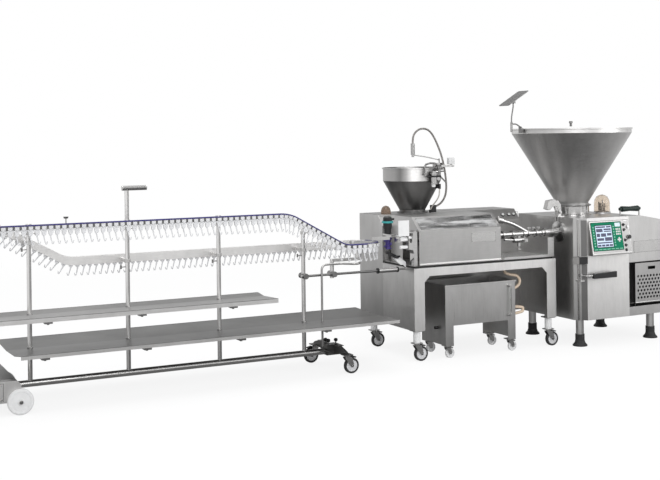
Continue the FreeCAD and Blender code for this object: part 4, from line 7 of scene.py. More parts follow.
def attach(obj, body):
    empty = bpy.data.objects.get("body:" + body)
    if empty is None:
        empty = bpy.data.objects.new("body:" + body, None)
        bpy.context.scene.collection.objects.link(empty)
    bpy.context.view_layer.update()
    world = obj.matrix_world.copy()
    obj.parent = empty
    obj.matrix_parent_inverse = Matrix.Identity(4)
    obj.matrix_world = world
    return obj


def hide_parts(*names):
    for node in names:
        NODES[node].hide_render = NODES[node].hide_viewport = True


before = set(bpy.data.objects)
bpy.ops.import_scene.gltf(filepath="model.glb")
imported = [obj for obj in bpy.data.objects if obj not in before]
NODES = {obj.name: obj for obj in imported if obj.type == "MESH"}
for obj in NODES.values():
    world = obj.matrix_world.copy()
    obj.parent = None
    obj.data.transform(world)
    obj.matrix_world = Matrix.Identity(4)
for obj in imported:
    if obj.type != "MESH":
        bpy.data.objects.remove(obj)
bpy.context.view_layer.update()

LINE = "line"

# Camera: solved from the photograph, in the row frame
CAMERA_PLACE = (-4.275, -8.255, 1.88)
CAMERA_TURN = 0.464174
CAMERA_ROLL = 0.0125566
CAMERA_LENS = 60.41
CAMERA_SENSOR = 36
CAMERA_SHIFT_Y = -0.1558

# Lamps: name, place, aim, size in metres and power in watts
LAMPS = (("key", (-2.0, -7.5, 5.5), (0.6, 0, 0.8), 4.5, 260),
         ("fill", (5.5, -5.0, 3.2), (1.8, 0, 0.9), 3.0, 90),
         ("top", (0.0, 0.5, 6.0), (0.0, 0, 0.5), 5.0, 160))

# Studio: what metal sees, round the horizon and by height, and the plain light
STUDIO_PANELS = ((0.0, 0.75), (0.10, 0.95), (0.20, 1.0), (0.28, 0.55), (0.33, 1.0), (0.42, 1.0), (0.50, 0.6),
                 (0.58, 0.85), (0.66, 0.5), (0.74, 0.9), (0.82, 1.0), (0.92, 0.6), (1.0, 0.75))
STUDIO_HEIGHTS = ((0.0, 0.75), (0.10, 1.0), (0.30, 0.95), (0.50, 0.5), (0.75, 1.0), (1.0, 0.8))
FLOOR_HALF = 60
FLOOR_TONE = 0.86
# How bright metal sees the floor near the part and far off, and over what distances: a painted shade round
# the part
FLOOR_IN_METAL = (0.14, 0.95)
FLOOR_REACH = (2.6, 8.0)
FLOOR_GLOW = (0.86, 1.0)
FLOOR_GLOW_REACH = (3.2, 9.0)
WORLD_COLOR = (0.98, 0.99, 1.0, 1)
WORLD_LIGHT = 0.85
WHITE = (1, 1, 1, 1)

# How far a thin layer stands off a face, and how deep a detail is rooted in it
SKIN = 0.0003
ROOT = 0.001

# Conveyor: runs, bends and turns of the track, its rails, posts, trays and drive box
CONVEYOR_Y = -0.170
TRACK_HIGH, TRACK_LOW = 1.285, 1.010
DESCENT_ANGLE = math.radians(29)
TOP_BEND, FOOT_BEND = 0.300, 0.200
FRONT_DESCENT_X, RETURN_DESCENT_X = -0.750, -2.925
TURN_LEFT_X, TURN_RIGHT_X = -2.935, 0.015
TURN_RADIUS = 0.165
RAIL_HALF = 0.011
FRONT_RUN_Y = CONVEYOR_Y - TURN_RADIUS
POST_X = (-2.658, -1.933, -1.208, -0.483)
HANDLE_Z = 1.518
UPPER_TRAY_Z, LOWER_TRAY_Z = 0.645, 0.405
UPPER_TRAY_FRONT_Y, LOWER_TRAY_FRONT_Y = -0.4545, -0.5295
DRIVE_FRONT_Y, DRIVE_BACK_Y = -0.475, 0.135
BIG_WHEEL_X, BIG_WHEEL_Z = -2.790, 0.090

# Co-extruder: cabinet, hood, spiral motor, the small hopper's valve and the tub's gauge
CABINET_RIGHT_X, CABINET_BACK_Y, CABINET_TOP_Z = 1.905, 0.595, 1.1905
HOOD_FRONT_Y = -0.325
MOTOR = (0.300, -0.172)
VALVE_X, VALVE_Y = 0.926, 0.093
GAUGE_X, GAUGE_Y = 1.398, -0.375

# Filler: hopper, body, sloped console, vacuum dome and grab handle
HOPPER = (2.295, -0.105)
BODY_FRONT_Y, BODY_BACK_Y = -0.555, 0.325
CONSOLE_HEAD_Z, CONSOLE_FOOT_Z = 1.106, 0.815
CONSOLE_HEAD_OUT, CONSOLE_LEAN = 0.008, 0.056
DOME = (2.622, -0.135)
GRAB_Y, GRAB_Z = -0.355, 1.186

# Castors: place of the swivel in x and y, and how far the wheel trails behind it
CASTOR_PLACES = {"table_front_left": (0.495, -0.300, 0.038), "table_rear_left": (0.495, 0.440, 0.038),
                 "table_front_right": (1.855, -0.300, 0.038), "table_rear_right": (1.855, 0.440, 0.038),
                 "conveyor_front": (-0.235, -0.438, 0.038), "conveyor_rear": (-0.257, 0.098, -0.038)}
CASTOR_AXLE_Z, TUB_AXLE_Z = 0.0625, 0.0425
TUB_WHEEL_X = {"left": 0.809, "right": 1.452}


def camera():
    data = bpy.data.cameras.new("camera")
    data.lens = CAMERA_LENS
    data.sensor_width = CAMERA_SENSOR
    data.shift_y = CAMERA_SHIFT_Y
    ahead = Vector((math.sin(CAMERA_TURN), math.cos(CAMERA_TURN), 0))
    right = Vector((math.cos(CAMERA_TURN), -math.sin(CAMERA_TURN), 0))
    up = Vector((0, 0, 1))
    turned = right * math.cos(CAMERA_ROLL) - up * math.sin(CAMERA_ROLL)
    raised = up * math.cos(CAMERA_ROLL) + right * math.sin(CAMERA_ROLL)
    obj = bpy.data.objects.new("camera", data)
    bpy.context.scene.collection.objects.link(obj)
    place = Matrix((turned, raised, -ahead)).transposed().to_4x4()
    place.translation = Vector(CAMERA_PLACE)
    obj.matrix_world = place
    bpy.context.scene.camera = obj


def lamp(name, place, aim, size, power):
    data = bpy.data.lights.new(name, "AREA")
    data.energy = power
    data.size = size
    obj = bpy.data.objects.new(name, data)
    bpy.context.scene.collection.objects.link(obj)
    obj.location = place
    obj.rotation_euler = (Vector(aim) - Vector(place)).to_track_quat("-Z", "Y").to_euler()


def link(tree, *pairs):
    for source, target in pairs:
        tree.links.new(source, target)


def fill(node, **values):
    """Puts values on a node's inputs; an underscore stands for a space."""
    for name, value in values.items():
        node.inputs[name.replace("_", " ")].default_value = value


def add(tree, kind, **values):
    """New node of a kind, with values on its inputs."""
    node = tree.nodes.new("ShaderNode" + kind)
    fill(node, **values)
    return node


def bare(name, surface="BsdfPrincipled"):
    """New material with one shader, linked to its output."""
    mat = bpy.data.materials.new(name)
    mat.use_nodes = True
    tree = mat.node_tree
    tree.nodes.clear()
    shader = add(tree, surface)
    link(tree, (shader.outputs[0], add(tree, "OutputMaterial").inputs[0]))
    return mat, tree, shader


def noise(tree, scale, stretch=(1, 1, 1), detail=4.0, rough=0.55):
    """Noise over the part's own coordinates, stretched along chosen axes."""
    mapping = add(tree, "Mapping", Scale=stretch)
    pattern = add(tree, "TexNoise", Scale=scale, Detail=detail, Roughness=rough)
    link(tree, (add(tree, "TexCoord").outputs["Object"], mapping.inputs[0]),
         (mapping.outputs[0], pattern.inputs["Vector"]))
    return pattern.outputs["Fac"]


def ramp(tree, source, stops):
    node = add(tree, "ValToRGB")
    link(tree, (source, node.inputs[0]))
    first, last = node.color_ramp.elements[0], node.color_ramp.elements[1]
    first.position, first.color = stops[0]
    last.position, last.color = stops[-1]
    for position, color in stops[1:-1]:
        node.color_ramp.elements.new(position).color = color
    return node.outputs[0]


def spread(tree, source, low, high, reach=(0.3, 0.7)):
    """Maps a reach of source onto low to high."""
    node = add(tree, "MapRange", From_Min=reach[0], From_Max=reach[1], To_Min=low, To_Max=high)
    link(tree, (source, node.inputs[0]))
    return node.outputs[0]


def blend_color(tree, share, a, b):
    """Multiplies color a by a share of color b."""
    node = add(tree, "Mix")
    node.data_type, node.blend_type = "RGBA", "MULTIPLY"
    node.inputs[0].default_value = share
    link(tree, (a, node.inputs[6]), (b, node.inputs[7]))
    return node.outputs[2]


def bump(tree, shader, source, depth, rounded=0.0):
    """Fine relief; rounded softens the edges of sheet parts in the shading."""
    node = add(tree, "Bump", Strength=1.0, Distance=depth)
    if rounded:
        edge = add(tree, "Bevel", Radius=rounded)
        edge.samples = 4
        link(tree, (edge.outputs[0], node.inputs["Normal"]))
    link(tree, (source, node.inputs["Height"]), (node.outputs[0], shader.inputs["Normal"]))


def grey(value, warm=0.0):
    return (value * (1 + warm), value, value * (1 - warm), 1)


PANE_IOR = 1.3

# Half of the level direction that runs from left to right across the photograph
SHINE_ACROSS = (0.447, -0.2235, 0)

# Stretch of the brushed grain along an axis, or round a drum
STRETCH = {"x": (0.5, 45, 45), "z": (45, 45, 0.5), "round": (1.5, 1.5, 14)}


def round_shine(tree, stops):
    """Painted reflection: upright light and dark bands round a polished drum, by the way its surface faces.
    """
    across = add(tree, "VectorMath")
    across.operation = "DOT_PRODUCT"
    across.inputs[1].default_value = SHINE_ACROSS
    half = add(tree, "Math")
    half.inputs[1].default_value = 0.5
    link(tree, (add(tree, "TexCoord").outputs["Normal"], across.inputs[0]),
         (across.outputs["Value"], half.inputs[0]))
    return ramp(tree, half.outputs[0], [(place, grey(tone)) for place, tone in stops])


def steel(name, tone, rough=0.34, grain="x", rounded=0.0015, stain=0.16, warm=0.01, shine=None):
    """Brushed stainless steel: long fine grain, cloudy tone and faint smears; shine adds painted reflection
    bands.
    """
    mat, tree, shader = bare(name)
    lines = noise(tree, 14, STRETCH[grain], 3.0, 0.6)
    clouds = noise(tree, 2.4, (1, 1, 1), 3.0, 0.5)
    smears = noise(tree, 11, (1, 1, 0.4), 6.0, 0.65)
    base = ramp(tree, lines, [(0.3, grey(tone * 0.92, warm)), (0.7, grey(tone * 1.06, warm))])
    shade = ramp(tree, clouds, [(0.3, grey(1 - stain)), (0.7, grey(1.0))])
    smear = ramp(tree, smears, [(0.35, grey(0.9)), (0.6, grey(1.0))])
    color = blend_color(tree, 1.0, base, shade)
    color = blend_color(tree, 0.7, color, smear)
    if shine:
        color = blend_color(tree, 1.0, color, round_shine(tree, shine))
    fill(shader, Metallic=1.0)
    link(tree, (color, shader.inputs["Base Color"]),
         (spread(tree, lines, rough * 0.82, rough * 1.2), shader.inputs["Roughness"]))
    bump(tree, shader, lines, 0.00004, rounded)
    return mat


def plastic(name, color, rough=0.42, grain=0.00006, variation=0.08, coat=0.0, rounded=0.0, sheen=0.5):
    """Moulded plastic with a fine texture, handling marks and slight tone changes."""
    mat, tree, shader = bare(name)
    fine = noise(tree, 420, (1, 1, 1), 2.0)
    marks = noise(tree, 16, (1, 1, 1), 5.0, 0.6)
    lower = tuple(c * (1 - variation) for c in color) + (1,)
    fill(shader, Coat_Weight=coat, Specular_IOR_Level=sheen)
    link(tree, (ramp(tree, marks, [(0.32, lower), (0.62, color + (1,))]), shader.inputs["Base Color"]),
         (spread(tree, marks, rough * 0.85, rough * 1.2), shader.inputs["Roughness"]))
    bump(tree, shader, fine, grain, rounded)
    return mat


def clear(name, color, rough=0.03, share=0.85):
    mat, tree, shader = bare(name)
    wipes = noise(tree, 7, (1, 1, 3), 5.0, 0.6)
    fill(shader, Base_Color=color + (1,), Transmission_Weight=share, IOR=PANE_IOR)
    link(tree, (spread(tree, wipes, rough, rough * 3), shader.inputs["Roughness"]))
    return mat


def painted_reflection_pane(name):
    # Painted reflections: where the noise rises, the glass turns lighter and passes less light
    mat, tree, shader = bare(name)
    reflection_streaks = noise(tree, 5, (0.7, 5, 3), 4.0, 0.55)
    fill(shader, IOR=PANE_IOR, Roughness=0.03)
    tones = ramp(tree, reflection_streaks, [(0.40, grey(0.40)), (0.62, grey(0.74))])
    link(tree, (tones, shader.inputs["Base Color"]),
         (spread(tree, reflection_streaks, 1.0, 0.40), shader.inputs["Transmission Weight"]))
    return mat


def corrugated(name, color, pitch):
    """Ribbed hose skin: rings along the hose's own length, in relief, with painted shade in the grooves."""
    mat, tree, shader = bare(name)
    wave = add(tree, "TexWave", Scale=pitch)
    wave.wave_type, wave.bands_direction = "BANDS", "X"
    # Painted shade: the grooves between the ribs darker
    dark = tuple(c * 0.35 for c in color) + (1,)
    fill(shader, Roughness=0.45)
    link(tree, (add(tree, "TexCoord").outputs["UV"], wave.inputs["Vector"]),
         (ramp(tree, wave.outputs["Fac"], [(0.25, dark), (0.7, color + (1,))]), shader.inputs["Base Color"]))
    bump(tree, shader, wave.outputs["Fac"], 0.002)
    return mat


# Painted reflection bands on polished drums and tubes: place across the front, from left to right, and tone
DRUM_SHINE = ((0.04, 0.50), (0.17, 0.52), (0.27, 0.32), (0.37, 0.62), (0.46, 1.0), (0.57, 0.98),
              (0.67, 0.66), (0.77, 0.22), (0.90, 0.30))
TUBE_SHINE = ((0.05, 0.70), (0.28, 1.0), (0.52, 0.90), (0.80, 0.42), (0.97, 0.60))

# Steel: tone, roughness, grain, rounded edges, staining, warmth, painted reflection bands
STEELS = {
    "steel": (0.54, 0.36, "x"),
    "steel_v": (0.66, 0.33, "z"),
    # The tube steel carries painted reflection bands
    "tube": (1.0, 0.32, "z", 0.0, 0.05, 0.01, TUBE_SHINE),
    "tube_x": (0.80, 0.28, "x", 0.0, 0.12),
    # Lighter copy of the tray steel for the trays' front edges: painted light
    "flange": (0.95, 0.36, "x", 0.0006, 0.12),
    # Lighter copy of the rail steel: painted light on the return run
    "rail_back": (0.95, 0.42, "x", 0.0006, 0.06),
    "rail_shade": (0.20, 0.4, "x", 0.0, 0.2),
    "steel_dark": (0.27, 0.38, "x"),
    "steel_light": (0.62, 0.30, "x"),
    "console": (0.40, 0.42, "x", 0.0012, 0.08),
    # Lighter copy of the upright-grain steel for faces turned to the light: painted light
    "front": (0.86, 0.42, "z", 0.0015, 0.06),
    "cone": (0.52, 0.46, "round", 0.001, 0.12),
    # Darker copy of the cone steel: painted shade on the small hopper's cone
    "cone_dark": (0.21, 0.42, "round", 0.001, 0.15),
    "band": (0.78, 0.40, "round", 0.001, 0.08),
    # The small hopper's drum carries painted reflection bands
    "small_band": (1.0, 0.44, "round", 0.001, 0.05, 0.01, DRUM_SHINE),
    # Brightest steel: a painted highlight on the hood's foot lip and the corner tube
    "streak": (1.0, 0.45, "x", 0.0, 0.05),
    "bright": (0.55, 0.16, "round", 0.0008, 0.1),
    "zinc": (0.48, 0.36, "round", 0.0008, 0.2),
    # Near-black steel: painted shade in hollows and slots
    "recess": (0.10, 0.5, "x"),
    "tray": (0.46, 0.34, "x", 0.0006, 0.2),
    # Darker copy of the tray steel: painted shade on the lower tray
    "tray_dark": (0.25, 0.34, "x", 0.0006, 0.3),
    "rail": (0.66, 0.30, "x", 0.0006, 0.12),
}

# Plastic: colour, roughness, texture depth, change of tone, coat, rounded edges, sheen
PLASTICS = {
    "strip": ((0.03, 0.026, 0.16), 0.4, 0.00003, 0.15),
    "carrier": ((0.60, 0.60, 0.61), 0.36, 0.00003, 0.1),
    "white": ((0.66, 0.66, 0.66), 0.36, 0.00004, 0.07),
    "disc": ((0.58, 0.58, 0.59), 0.4, 0.00004, 0.12),
    "black": ((0.010, 0.010, 0.011), 0.5, 0.00008, 0.2, 0.0, 0.001),
    "teal": ((0.03, 0.30, 0.30), 0.35, 0.00003, 0.1),
    "purple": ((0.055, 0.035, 0.22), 0.45, 0.00006, 0.15),
    "handle": ((0.004, 0.018, 0.014), 0.45, 0.0001, 0.2, 0.0, 0.001),
    "green": ((0.003, 0.165, 0.085), 0.5, 0.00002, 0.06, 0.0, 0.0, 0.12),
    "hose": ((0.62, 0.50, 0.38), 0.45, 0.00006, 0.14),
    "paste_hose": ((0.55, 0.52, 0.48), 0.4, 0.00003, 0.1),
    "pale_key": ((0.55, 0.56, 0.55), 0.35, 0.00003, 0.06),
    "display": ((0.50, 0.62, 0.78), 0.25, 0.00001, 0.05, 0.2),
    "ink": ((0.004, 0.006, 0.06), 0.3, 0.00001, 0.1, 0.1),
    "ink_dark": ((0.03, 0.03, 0.03), 0.5, 0.00001, 0.2),
    "green_key": ((0.16, 0.42, 0.30), 0.35, 0.00003, 0.06),
    "seam": ((0.012, 0.012, 0.012), 0.6, 0.00003, 0.2),
    "tyre": ((0.028, 0.028, 0.02856), 0.62, 0.00012, 0.25),
    "rubber": ((0.022, 0.022, 0.02244), 0.62, 0.00012, 0.25),
}

# Clear plastic and glass: colour, roughness, share of light that passes
CLEARS = {
    "amber": ((0.87, 0.80, 0.72), 0.03, 0.95),
    "cap": ((0.40, 0.29, 0.22), 0.05, 0.7),
    "gauge": ((0.86, 0.88, 0.86), 0.04, 0.9),
}

LOOKS = {"pane": painted_reflection_pane("hood_pane"), "ribs": corrugated("ribbed_hose", (0.46, 0.43, 0.41), 130)}
for recipe, recipes in ((steel, STEELS), (plastic, PLASTICS), (clear, CLEARS)):
    for name, values in recipes.items():
        LOOKS[name] = recipe(name + "_look", *values)


def paint(node, base, *regions):
    """Gives a CAD node its material, and other materials where a region's test of a face centre says so."""
    mesh = NODES[node].data
    mesh.materials.clear()
    mesh.materials.append(LOOKS[base])
    for number, (name, test) in enumerate(regions):
        mesh.materials.append(LOOKS[name])
        for face in mesh.polygons:
            spots = [face.center]
            if getattr(test, "whole", False):
                spots = [mesh.vertices[i].co for i in face.vertices]
            if all(test(spot) for spot in spots):
                face.material_index = number + 1


def near(x, y, reach):
    return lambda p: (p.x - x) ** 2 + (p.y - y) ** 2 < reach * reach


def about_axle(x, z, reach):
    return lambda p: (p.x - x) ** 2 + (p.z - z) ** 2 < reach * reach


def past(**limits):
    """Test for points past a limit on each named axis: z=1.2 means higher than 1.2."""
    pairs = [("xyz".index(axis), limit) for axis, limit in limits.items()]
    return lambda p: all(p[i] > limit for i, limit in pairs)


def short_of(**limits):
    """Like past, for points short of each limit."""
    pairs = [("xyz".index(axis), limit) for axis, limit in limits.items()]
    return lambda p: all(p[i] < limit for i, limit in pairs)


def within(low, high):
    return lambda p: all(low[i] <= p[i] <= high[i] for i in range(3))


def whole(low, high):
    """Like within, for faces that lie in the box with every corner."""
    test = within(low, high)
    test.whole = True
    return test


def both(*tests):
    return lambda p: all(test(p) for test in tests)


def either(*tests):
    return lambda p: any(test(p) for test in tests)


def paint_castors():
    for name, (x, y, trail) in CASTOR_PLACES.items():
        pedal = both(near(x + math.copysign(0.056, trail), y, 0.030), past(z=0.1205), short_of(z=0.1412))
        paint(name + "_fork", "zinc", ("black", pedal))
        paint(name + "_wheel", "tyre", ("disc", about_axle(x + trail, CASTOR_AXLE_Z, 0.0462)))
    for side, x in TUB_WHEEL_X.items():
        for end in ("front", "rear"):
            paint("tub_%s_%s_wheel" % (end, side), "white", ("disc", about_axle(x, TUB_AXLE_Z, 0.013)))


def paint_conveyor():
    for name in ("front_big_wheel", "rear_big_wheel"):
        paint(name, "white")
    for name, x in (("left_turn_wheel", TURN_LEFT_X), ("right_turn_wheel", TURN_RIGHT_X)):
        paint(name, "white", ("bright", near(x, CONVEYOR_Y, 0.0125)))
    front_face = short_of(y=FRONT_RUN_Y - RAIL_HALF + SKIN)
    return_inside = both(past(y=-0.022), short_of(y=-0.0185))
    # The return rail's inner face and the wear strip on the return run in a lighter steel: painted light
    paint("guide_rails", "rail", ("rail_shade", front_face), ("rail_back", return_inside))
    paint("wear_strip", "strip", ("rail_back", past(y=CONVEYOR_Y + 0.1)))
    paint("hook_chain", "carrier")
    rings = either(*(within((x, -0.3, 0.7), (x + 0.014, -0.1, 0.82)) for x in (0.179, 0.365)))
    base_tube = within((-2.9, -0.21, 0.10), (-0.29, -0.13, 0.17))
    hubs = within((-0.51, -0.24, 0.741), (0.13, -0.11, 0.789))
    handle_end = past(z=1.501, x=-1.97)
    # The frame's tubes carry painted reflection bands
    paint("conveyor_frame", "tube", ("black", rings), ("tube_x", base_tube), ("steel_dark", hubs),
          ("steel_dark", handle_end))
    # The trays' front edges in a lighter steel: painted light
    lower_edge = short_of(y=LOWER_TRAY_FRONT_Y, z=0.5)
    upper_edge = both(short_of(y=UPPER_TRAY_FRONT_Y), past(y=-0.46, z=0.5))
    # The lower tray is painted darker, as shade under the upper tray
    paint("trays", "tray", ("tray_dark", short_of(z=0.5)), ("flange", either(lower_edge, upper_edge)))
    socket = within((-0.30, -0.22, 0.214), (-0.19, -0.12, 0.25))
    paint("cross_member", "steel_dark", ("black", socket), ("steel", past(z=0.26)))
    lid_gap = both(past(z=0.2335), short_of(z=0.2445))
    lid_top = both(past(z=0.2449), short_of(z=0.2456, x=-2.77))
    paint("drive_box", "front", ("steel_dark", lid_gap), ("steel_dark", lid_top))


def paint_coextruder():
    gasket = both(past(z=0.7801), short_of(z=0.797), within((0.46, -0.336, 0), (1.9, 0.2, 1)))
    seats = [near(x, y, 0.0305) for name, (x, y, trail) in CASTOR_PLACES.items() if name.startswith("table")]
    spacers = both(past(z=0.156), short_of(z=0.2575), either(*seats))
    # The table's front faces take the lighter front steel: painted light
    paint("table_frame", "steel_v", ("seam", gasket), ("white", spacers), ("front", short_of(y=-0.3545)))
    dome_cap = both(near(0.600, 0.385, 0.05), past(z=1.1901))
    socket = both(within((1.7, 0.1, 1.11), (1.9, 0.26, 1.17)),
                  lambda p: p.y < 0.1745 + 0.08 * (p.z - 1.1) / 0.09)
    hose_box = within((0.96, 0.24, CABINET_TOP_Z), (1.09, 0.34, 1.26))
    paint("cabinet", "steel", ("cap", dome_cap), ("black", socket), ("black", hose_box))
    paint("splash_tray", "steel_light")
    outlet = within((1.0, 0.13, 1.40), (1.06, 0.24, 1.46))
    # The small hopper's cone is painted darker, as shade
    # The small hopper's drum carries painted reflection bands
    paint("small_hopper", "cone_dark", ("small_band", past(z=1.481)), ("black", outlet),
          ("bright", past(z=1.60)))
    paint("coextrusion_head", "bright")
    paint("infeed_pipe", "bright", ("steel_light", past(x=1.835)), ("bright", past(z=1.034)))
    rollers = both(past(x=0.3455, y=-0.3105, z=1.0225), short_of(x=0.4525, y=-0.2495, z=1.0455))
    guard = both(past(x=0.3175, z=1.0519), short_of(x=0.4205, y=-0.2795))
    motor = both(near(*MOTOR, 0.066), past(z=1.0665))
    paint("linker_head", "bright", ("white", rollers), ("white", guard), ("black", motor))
    paint("placing_spiral", "purple", ("bright", near(*MOTOR, 0.009)))
    paint("placing_arm", "black", ("white", both(past(x=0.311), short_of(y=-0.2219, z=0.8665))))
    paint("hood", "steel")
    # Hood window glass with painted reflection streaks
    paint("hood_window", "pane")


def paint_tub():
    gauge = both(near(GAUGE_X, GAUGE_Y, 0.0075), past(z=0.337), short_of(z=0.561))
    drain = both(short_of(x=0.7449, z=0.265), past(y=-0.25))
    paint("tub", "steel_v", ("gauge", gauge), ("black", drain), ("zinc", short_of(z=0.1035)))
    paint("tub_hoses", "hose")
    paint("sensor_hose", "paste_hose")


def paint_filler():
    strip = near(2.031, -0.511, 0.0095)
    block = whole((1.99, -0.60, 0.7370), (2.0955, -0.4745, 0.8010))
    # Painted shade in the hollow behind the step
    recess = within((2.566, -0.552, 0.318), (3.047, -0.36, 0.722))
    neck_ring = both(past(z=1.141), near(*HOPPER, 0.17))
    lever_seats = both(past(x=2.63, z=1.06), short_of(y=-0.34))
    dome_pin = both(near(2.600, -0.135, 0.013), past(z=1.143))
    # The filler's front takes the lighter front steel: painted light
    # The filler's left face in the darker, glossier bright steel: painted shade
    # The filler's legs take the tube steel with its painted reflection bands
    paint("filler_housing", "steel_v", ("front", short_of(y=-0.5549)), ("bright", strip), ("black", block),
          ("recess", recess), ("bright", neck_ring), ("bright", lever_seats), ("bright", short_of(x=2.0049)),
          ("tube", short_of(z=0.2349)), ("steel_dark", dome_pin))
    paint("hopper", "cone", ("band", past(x=1.7449, z=1.888)), ("steel_dark", short_of(x=1.7445)))
    plain = {"filler_console": "console", "screen_panel": "green", "stop_button": "black",
             "start_button": "white", "selector_knob": "black", "console_button_1": "pale_key",
             "console_button_2": "pale_key", "console_button_3": "pale_key", "start_lever": "bright",
             "lever_grip": "black", "step": "steel", "rubber_feet": "rubber", "feed_auger": "bright",
             "clamp_lever": "steel_light", "vacuum_dome": "amber", "grab_handle": "handle",
             "hopper_mirror": "steel_dark"}
    for name, material in plain.items():
        paint(name, material)


def smooth(data, angle):
    for face in data.polygons:
        face.use_smooth = True
    data.set_sharp_from_angle(angle=math.radians(angle))


def paint_nodes():
    paint_castors()
    paint_conveyor()
    paint_coextruder()
    paint_tub()
    paint_filler()
    for obj in NODES.values():
        smooth(obj.data, 28)


# Faces of a block whose corners come by their two ends across, then up, then outwards
BLOCK_FACES = ((0, 1, 3, 2), (4, 6, 7, 5), (0, 4, 5, 1), (2, 3, 7, 6), (0, 2, 6, 4), (1, 5, 7, 3))


class Build:
    """Collects small shapes in one mesh and makes one riding piece of them."""

    def __init__(self, name, material, body=LINE):
        self.name, self.material, self.body = name, material, body
        self.mesh = bmesh.new()

    def box(self, low, high):
        middle = (Vector(low) + Vector(high)) / 2
        size = Vector(high) - Vector(low)
        for vert in bmesh.ops.create_cube(self.mesh, size=1.0)["verts"]:
            vert.co = vert.co * size + middle

    def block(self, corners):
        verts = [self.mesh.verts.new(corner) for corner in corners]
        for ids in BLOCK_FACES:
            self.mesh.faces.new([verts[i] for i in ids])

    def slab(self, place, low, high):
        """Block between two corners given along a face: across, up and outwards."""
        self.block([place(u, v, d) for u in (low[0], high[0]) for v in (low[1], high[1])
                    for d in (low[2], high[2])])

    def outline(self, place, rectangle, width, out):
        """Narrow border along the four edges of a rectangle on a face."""
        (u0, v0), (u1, v1) = rectangle
        low, high = v0 + width, v1 - width
        for left, foot, right, head in ((u0, v0, u1, low), (u0, high, u1, v1), (u0, low, u0 + width, high),
                                        (u1 - width, low, u1, high)):
            self.slab(place, (left, foot, out[0]), (right, head, out[1]))

    def rod(self, start, end, radius, radius_end=None, sides=20):
        path = Vector(end) - Vector(start)
        spin = path.to_track_quat("Z", "Y").to_matrix().to_4x4()
        spin.translation = (Vector(start) + Vector(end)) / 2
        bmesh.ops.create_cone(self.mesh, cap_ends=True, segments=sides, radius1=radius,
                              radius2=radius if radius_end is None else radius_end, depth=path.length,
                              matrix=spin)

    def upright(self, x, y, low, high, radius, radius_end=None, sides=20):
        self.rod((x, y, low), (x, y, high), radius, radius_end, sides)

    def screw(self, seat, out, radius):
        seat, out = Vector(seat), Vector(out).normalized()
        self.rod(seat, seat + out * radius * 0.18, radius * 1.25)
        self.rod(seat + out * radius * 0.15, seat + out * radius * 0.7, radius, radius * 0.92, 6)

    def dome(self, seat, out, radius):
        seat, out = Vector(seat), Vector(out).normalized()
        self.rod(seat, seat + out * radius * 0.3, radius, radius * 0.9, 18)
        self.rod(seat + out * radius * 0.29, seat + out * radius * 0.55, radius * 0.9, radius * 0.5, 18)

    def ring(self, centre, axis, radius, thickness, sides=40, around=10):
        spin = Vector(axis).normalized().to_track_quat("Z", "Y").to_matrix()
        rows = []
        for i in range(sides):
            a = 2 * math.pi * i / sides
            row = []
            for j in range(around):
                b = 2 * math.pi * j / around
                r = radius + thickness * math.cos(b)
                point = Vector((r * math.cos(a), r * math.sin(a), thickness * math.sin(b)))
                row.append(self.mesh.verts.new(spin @ point + Vector(centre)))
            rows.append(row)
        for row, ahead in zip(rows, rows[1:] + rows[:1]):
            for j in range(around):
                k = (j + 1) % around
                self.mesh.faces.new((row[j], ahead[j], ahead[k], row[k]))

    def done(self, bevel=0.0):
        data = bpy.data.meshes.new(self.name)
        bmesh.ops.recalc_face_normals(self.mesh, faces=self.mesh.faces)
        self.mesh.to_mesh(data)
        self.mesh.free()
        smooth(data, 32)
        data.materials.append(LOOKS[self.material])
        obj = bpy.data.objects.new(self.name, data)
        bpy.context.scene.collection.objects.link(obj)
        if bevel:
            soften = obj.modifiers.new("soften", "BEVEL")
            soften.width = bevel
            soften.segments = 2
            soften.limit_method = "ANGLE"
            soften.harden_normals = True
        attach(obj, self.body)


# Faces that carry detail: each gives a point from a place across, a height and a distance outwards
def facing_front(y):
    return lambda u, v, d: Vector((u, y - d, v))


def facing_back(y):
    return lambda u, v, d: Vector((u, y + d, v))


def facing_right(x):
    return lambda u, v, d: Vector((x + d, u, v))


def facing_up(z):
    return lambda u, v, d: Vector((u, v, z + d))


CONSOLE_RISE = CONSOLE_HEAD_Z - CONSOLE_FOOT_Z
CONSOLE_NORMAL = Vector((0, -CONSOLE_RISE, CONSOLE_LEAN)).normalized()


def on_console(u, v, d):
    """Point on the filler's sloped console."""
    lean = CONSOLE_HEAD_OUT + CONSOLE_LEAN * (CONSOLE_HEAD_Z - v) / CONSOLE_RISE
    return Vector((u, BODY_FRONT_Y - SKIN - lean, v)) + CONSOLE_NORMAL * d


def on_front_right(u, v, d):
    """Point on the right part of the filler's front, which turns back a little."""
    start_x, slope = 2.568, 0.022 / 0.492
    out = Vector((slope, -1, 0)).normalized()
    return Vector((u, BODY_FRONT_Y + slope * (u - start_x), v)) + out * d


def grown(rectangle, margin):
    (u0, v0), (u1, v1) = rectangle
    return (u0 - margin, v0 - margin), (u1 + margin, v1 + margin)


def grid(across, heights):
    return [(u, v) for u in across for v in heights]


def plate(name, place, rectangle, body=LINE):
    """Blank raised plate with a border and a stud in each corner."""
    thick, inset = 0.0016, 0.009
    face = Build(name, "steel_light", body)
    face.slab(place, rectangle[0] + (-ROOT,), rectangle[1] + (thick,))
    face.done(0.0006)
    edge = Build(name + "_border", "steel_dark", body)
    edge.outline(place, grown(rectangle, -0.004), 0.0016, (0.0, 0.0021))
    edge.done()
    pins = Build(name + "_studs", "bright", body)
    normal = place(0, 0, 1) - place(0, 0, 0)
    low, high = grown(rectangle, -inset)
    for u, v in grid((low[0], high[0]), (low[1], high[1])):
        pins.dome(place(u, v, thick), normal, 0.0042)
    pins.done()


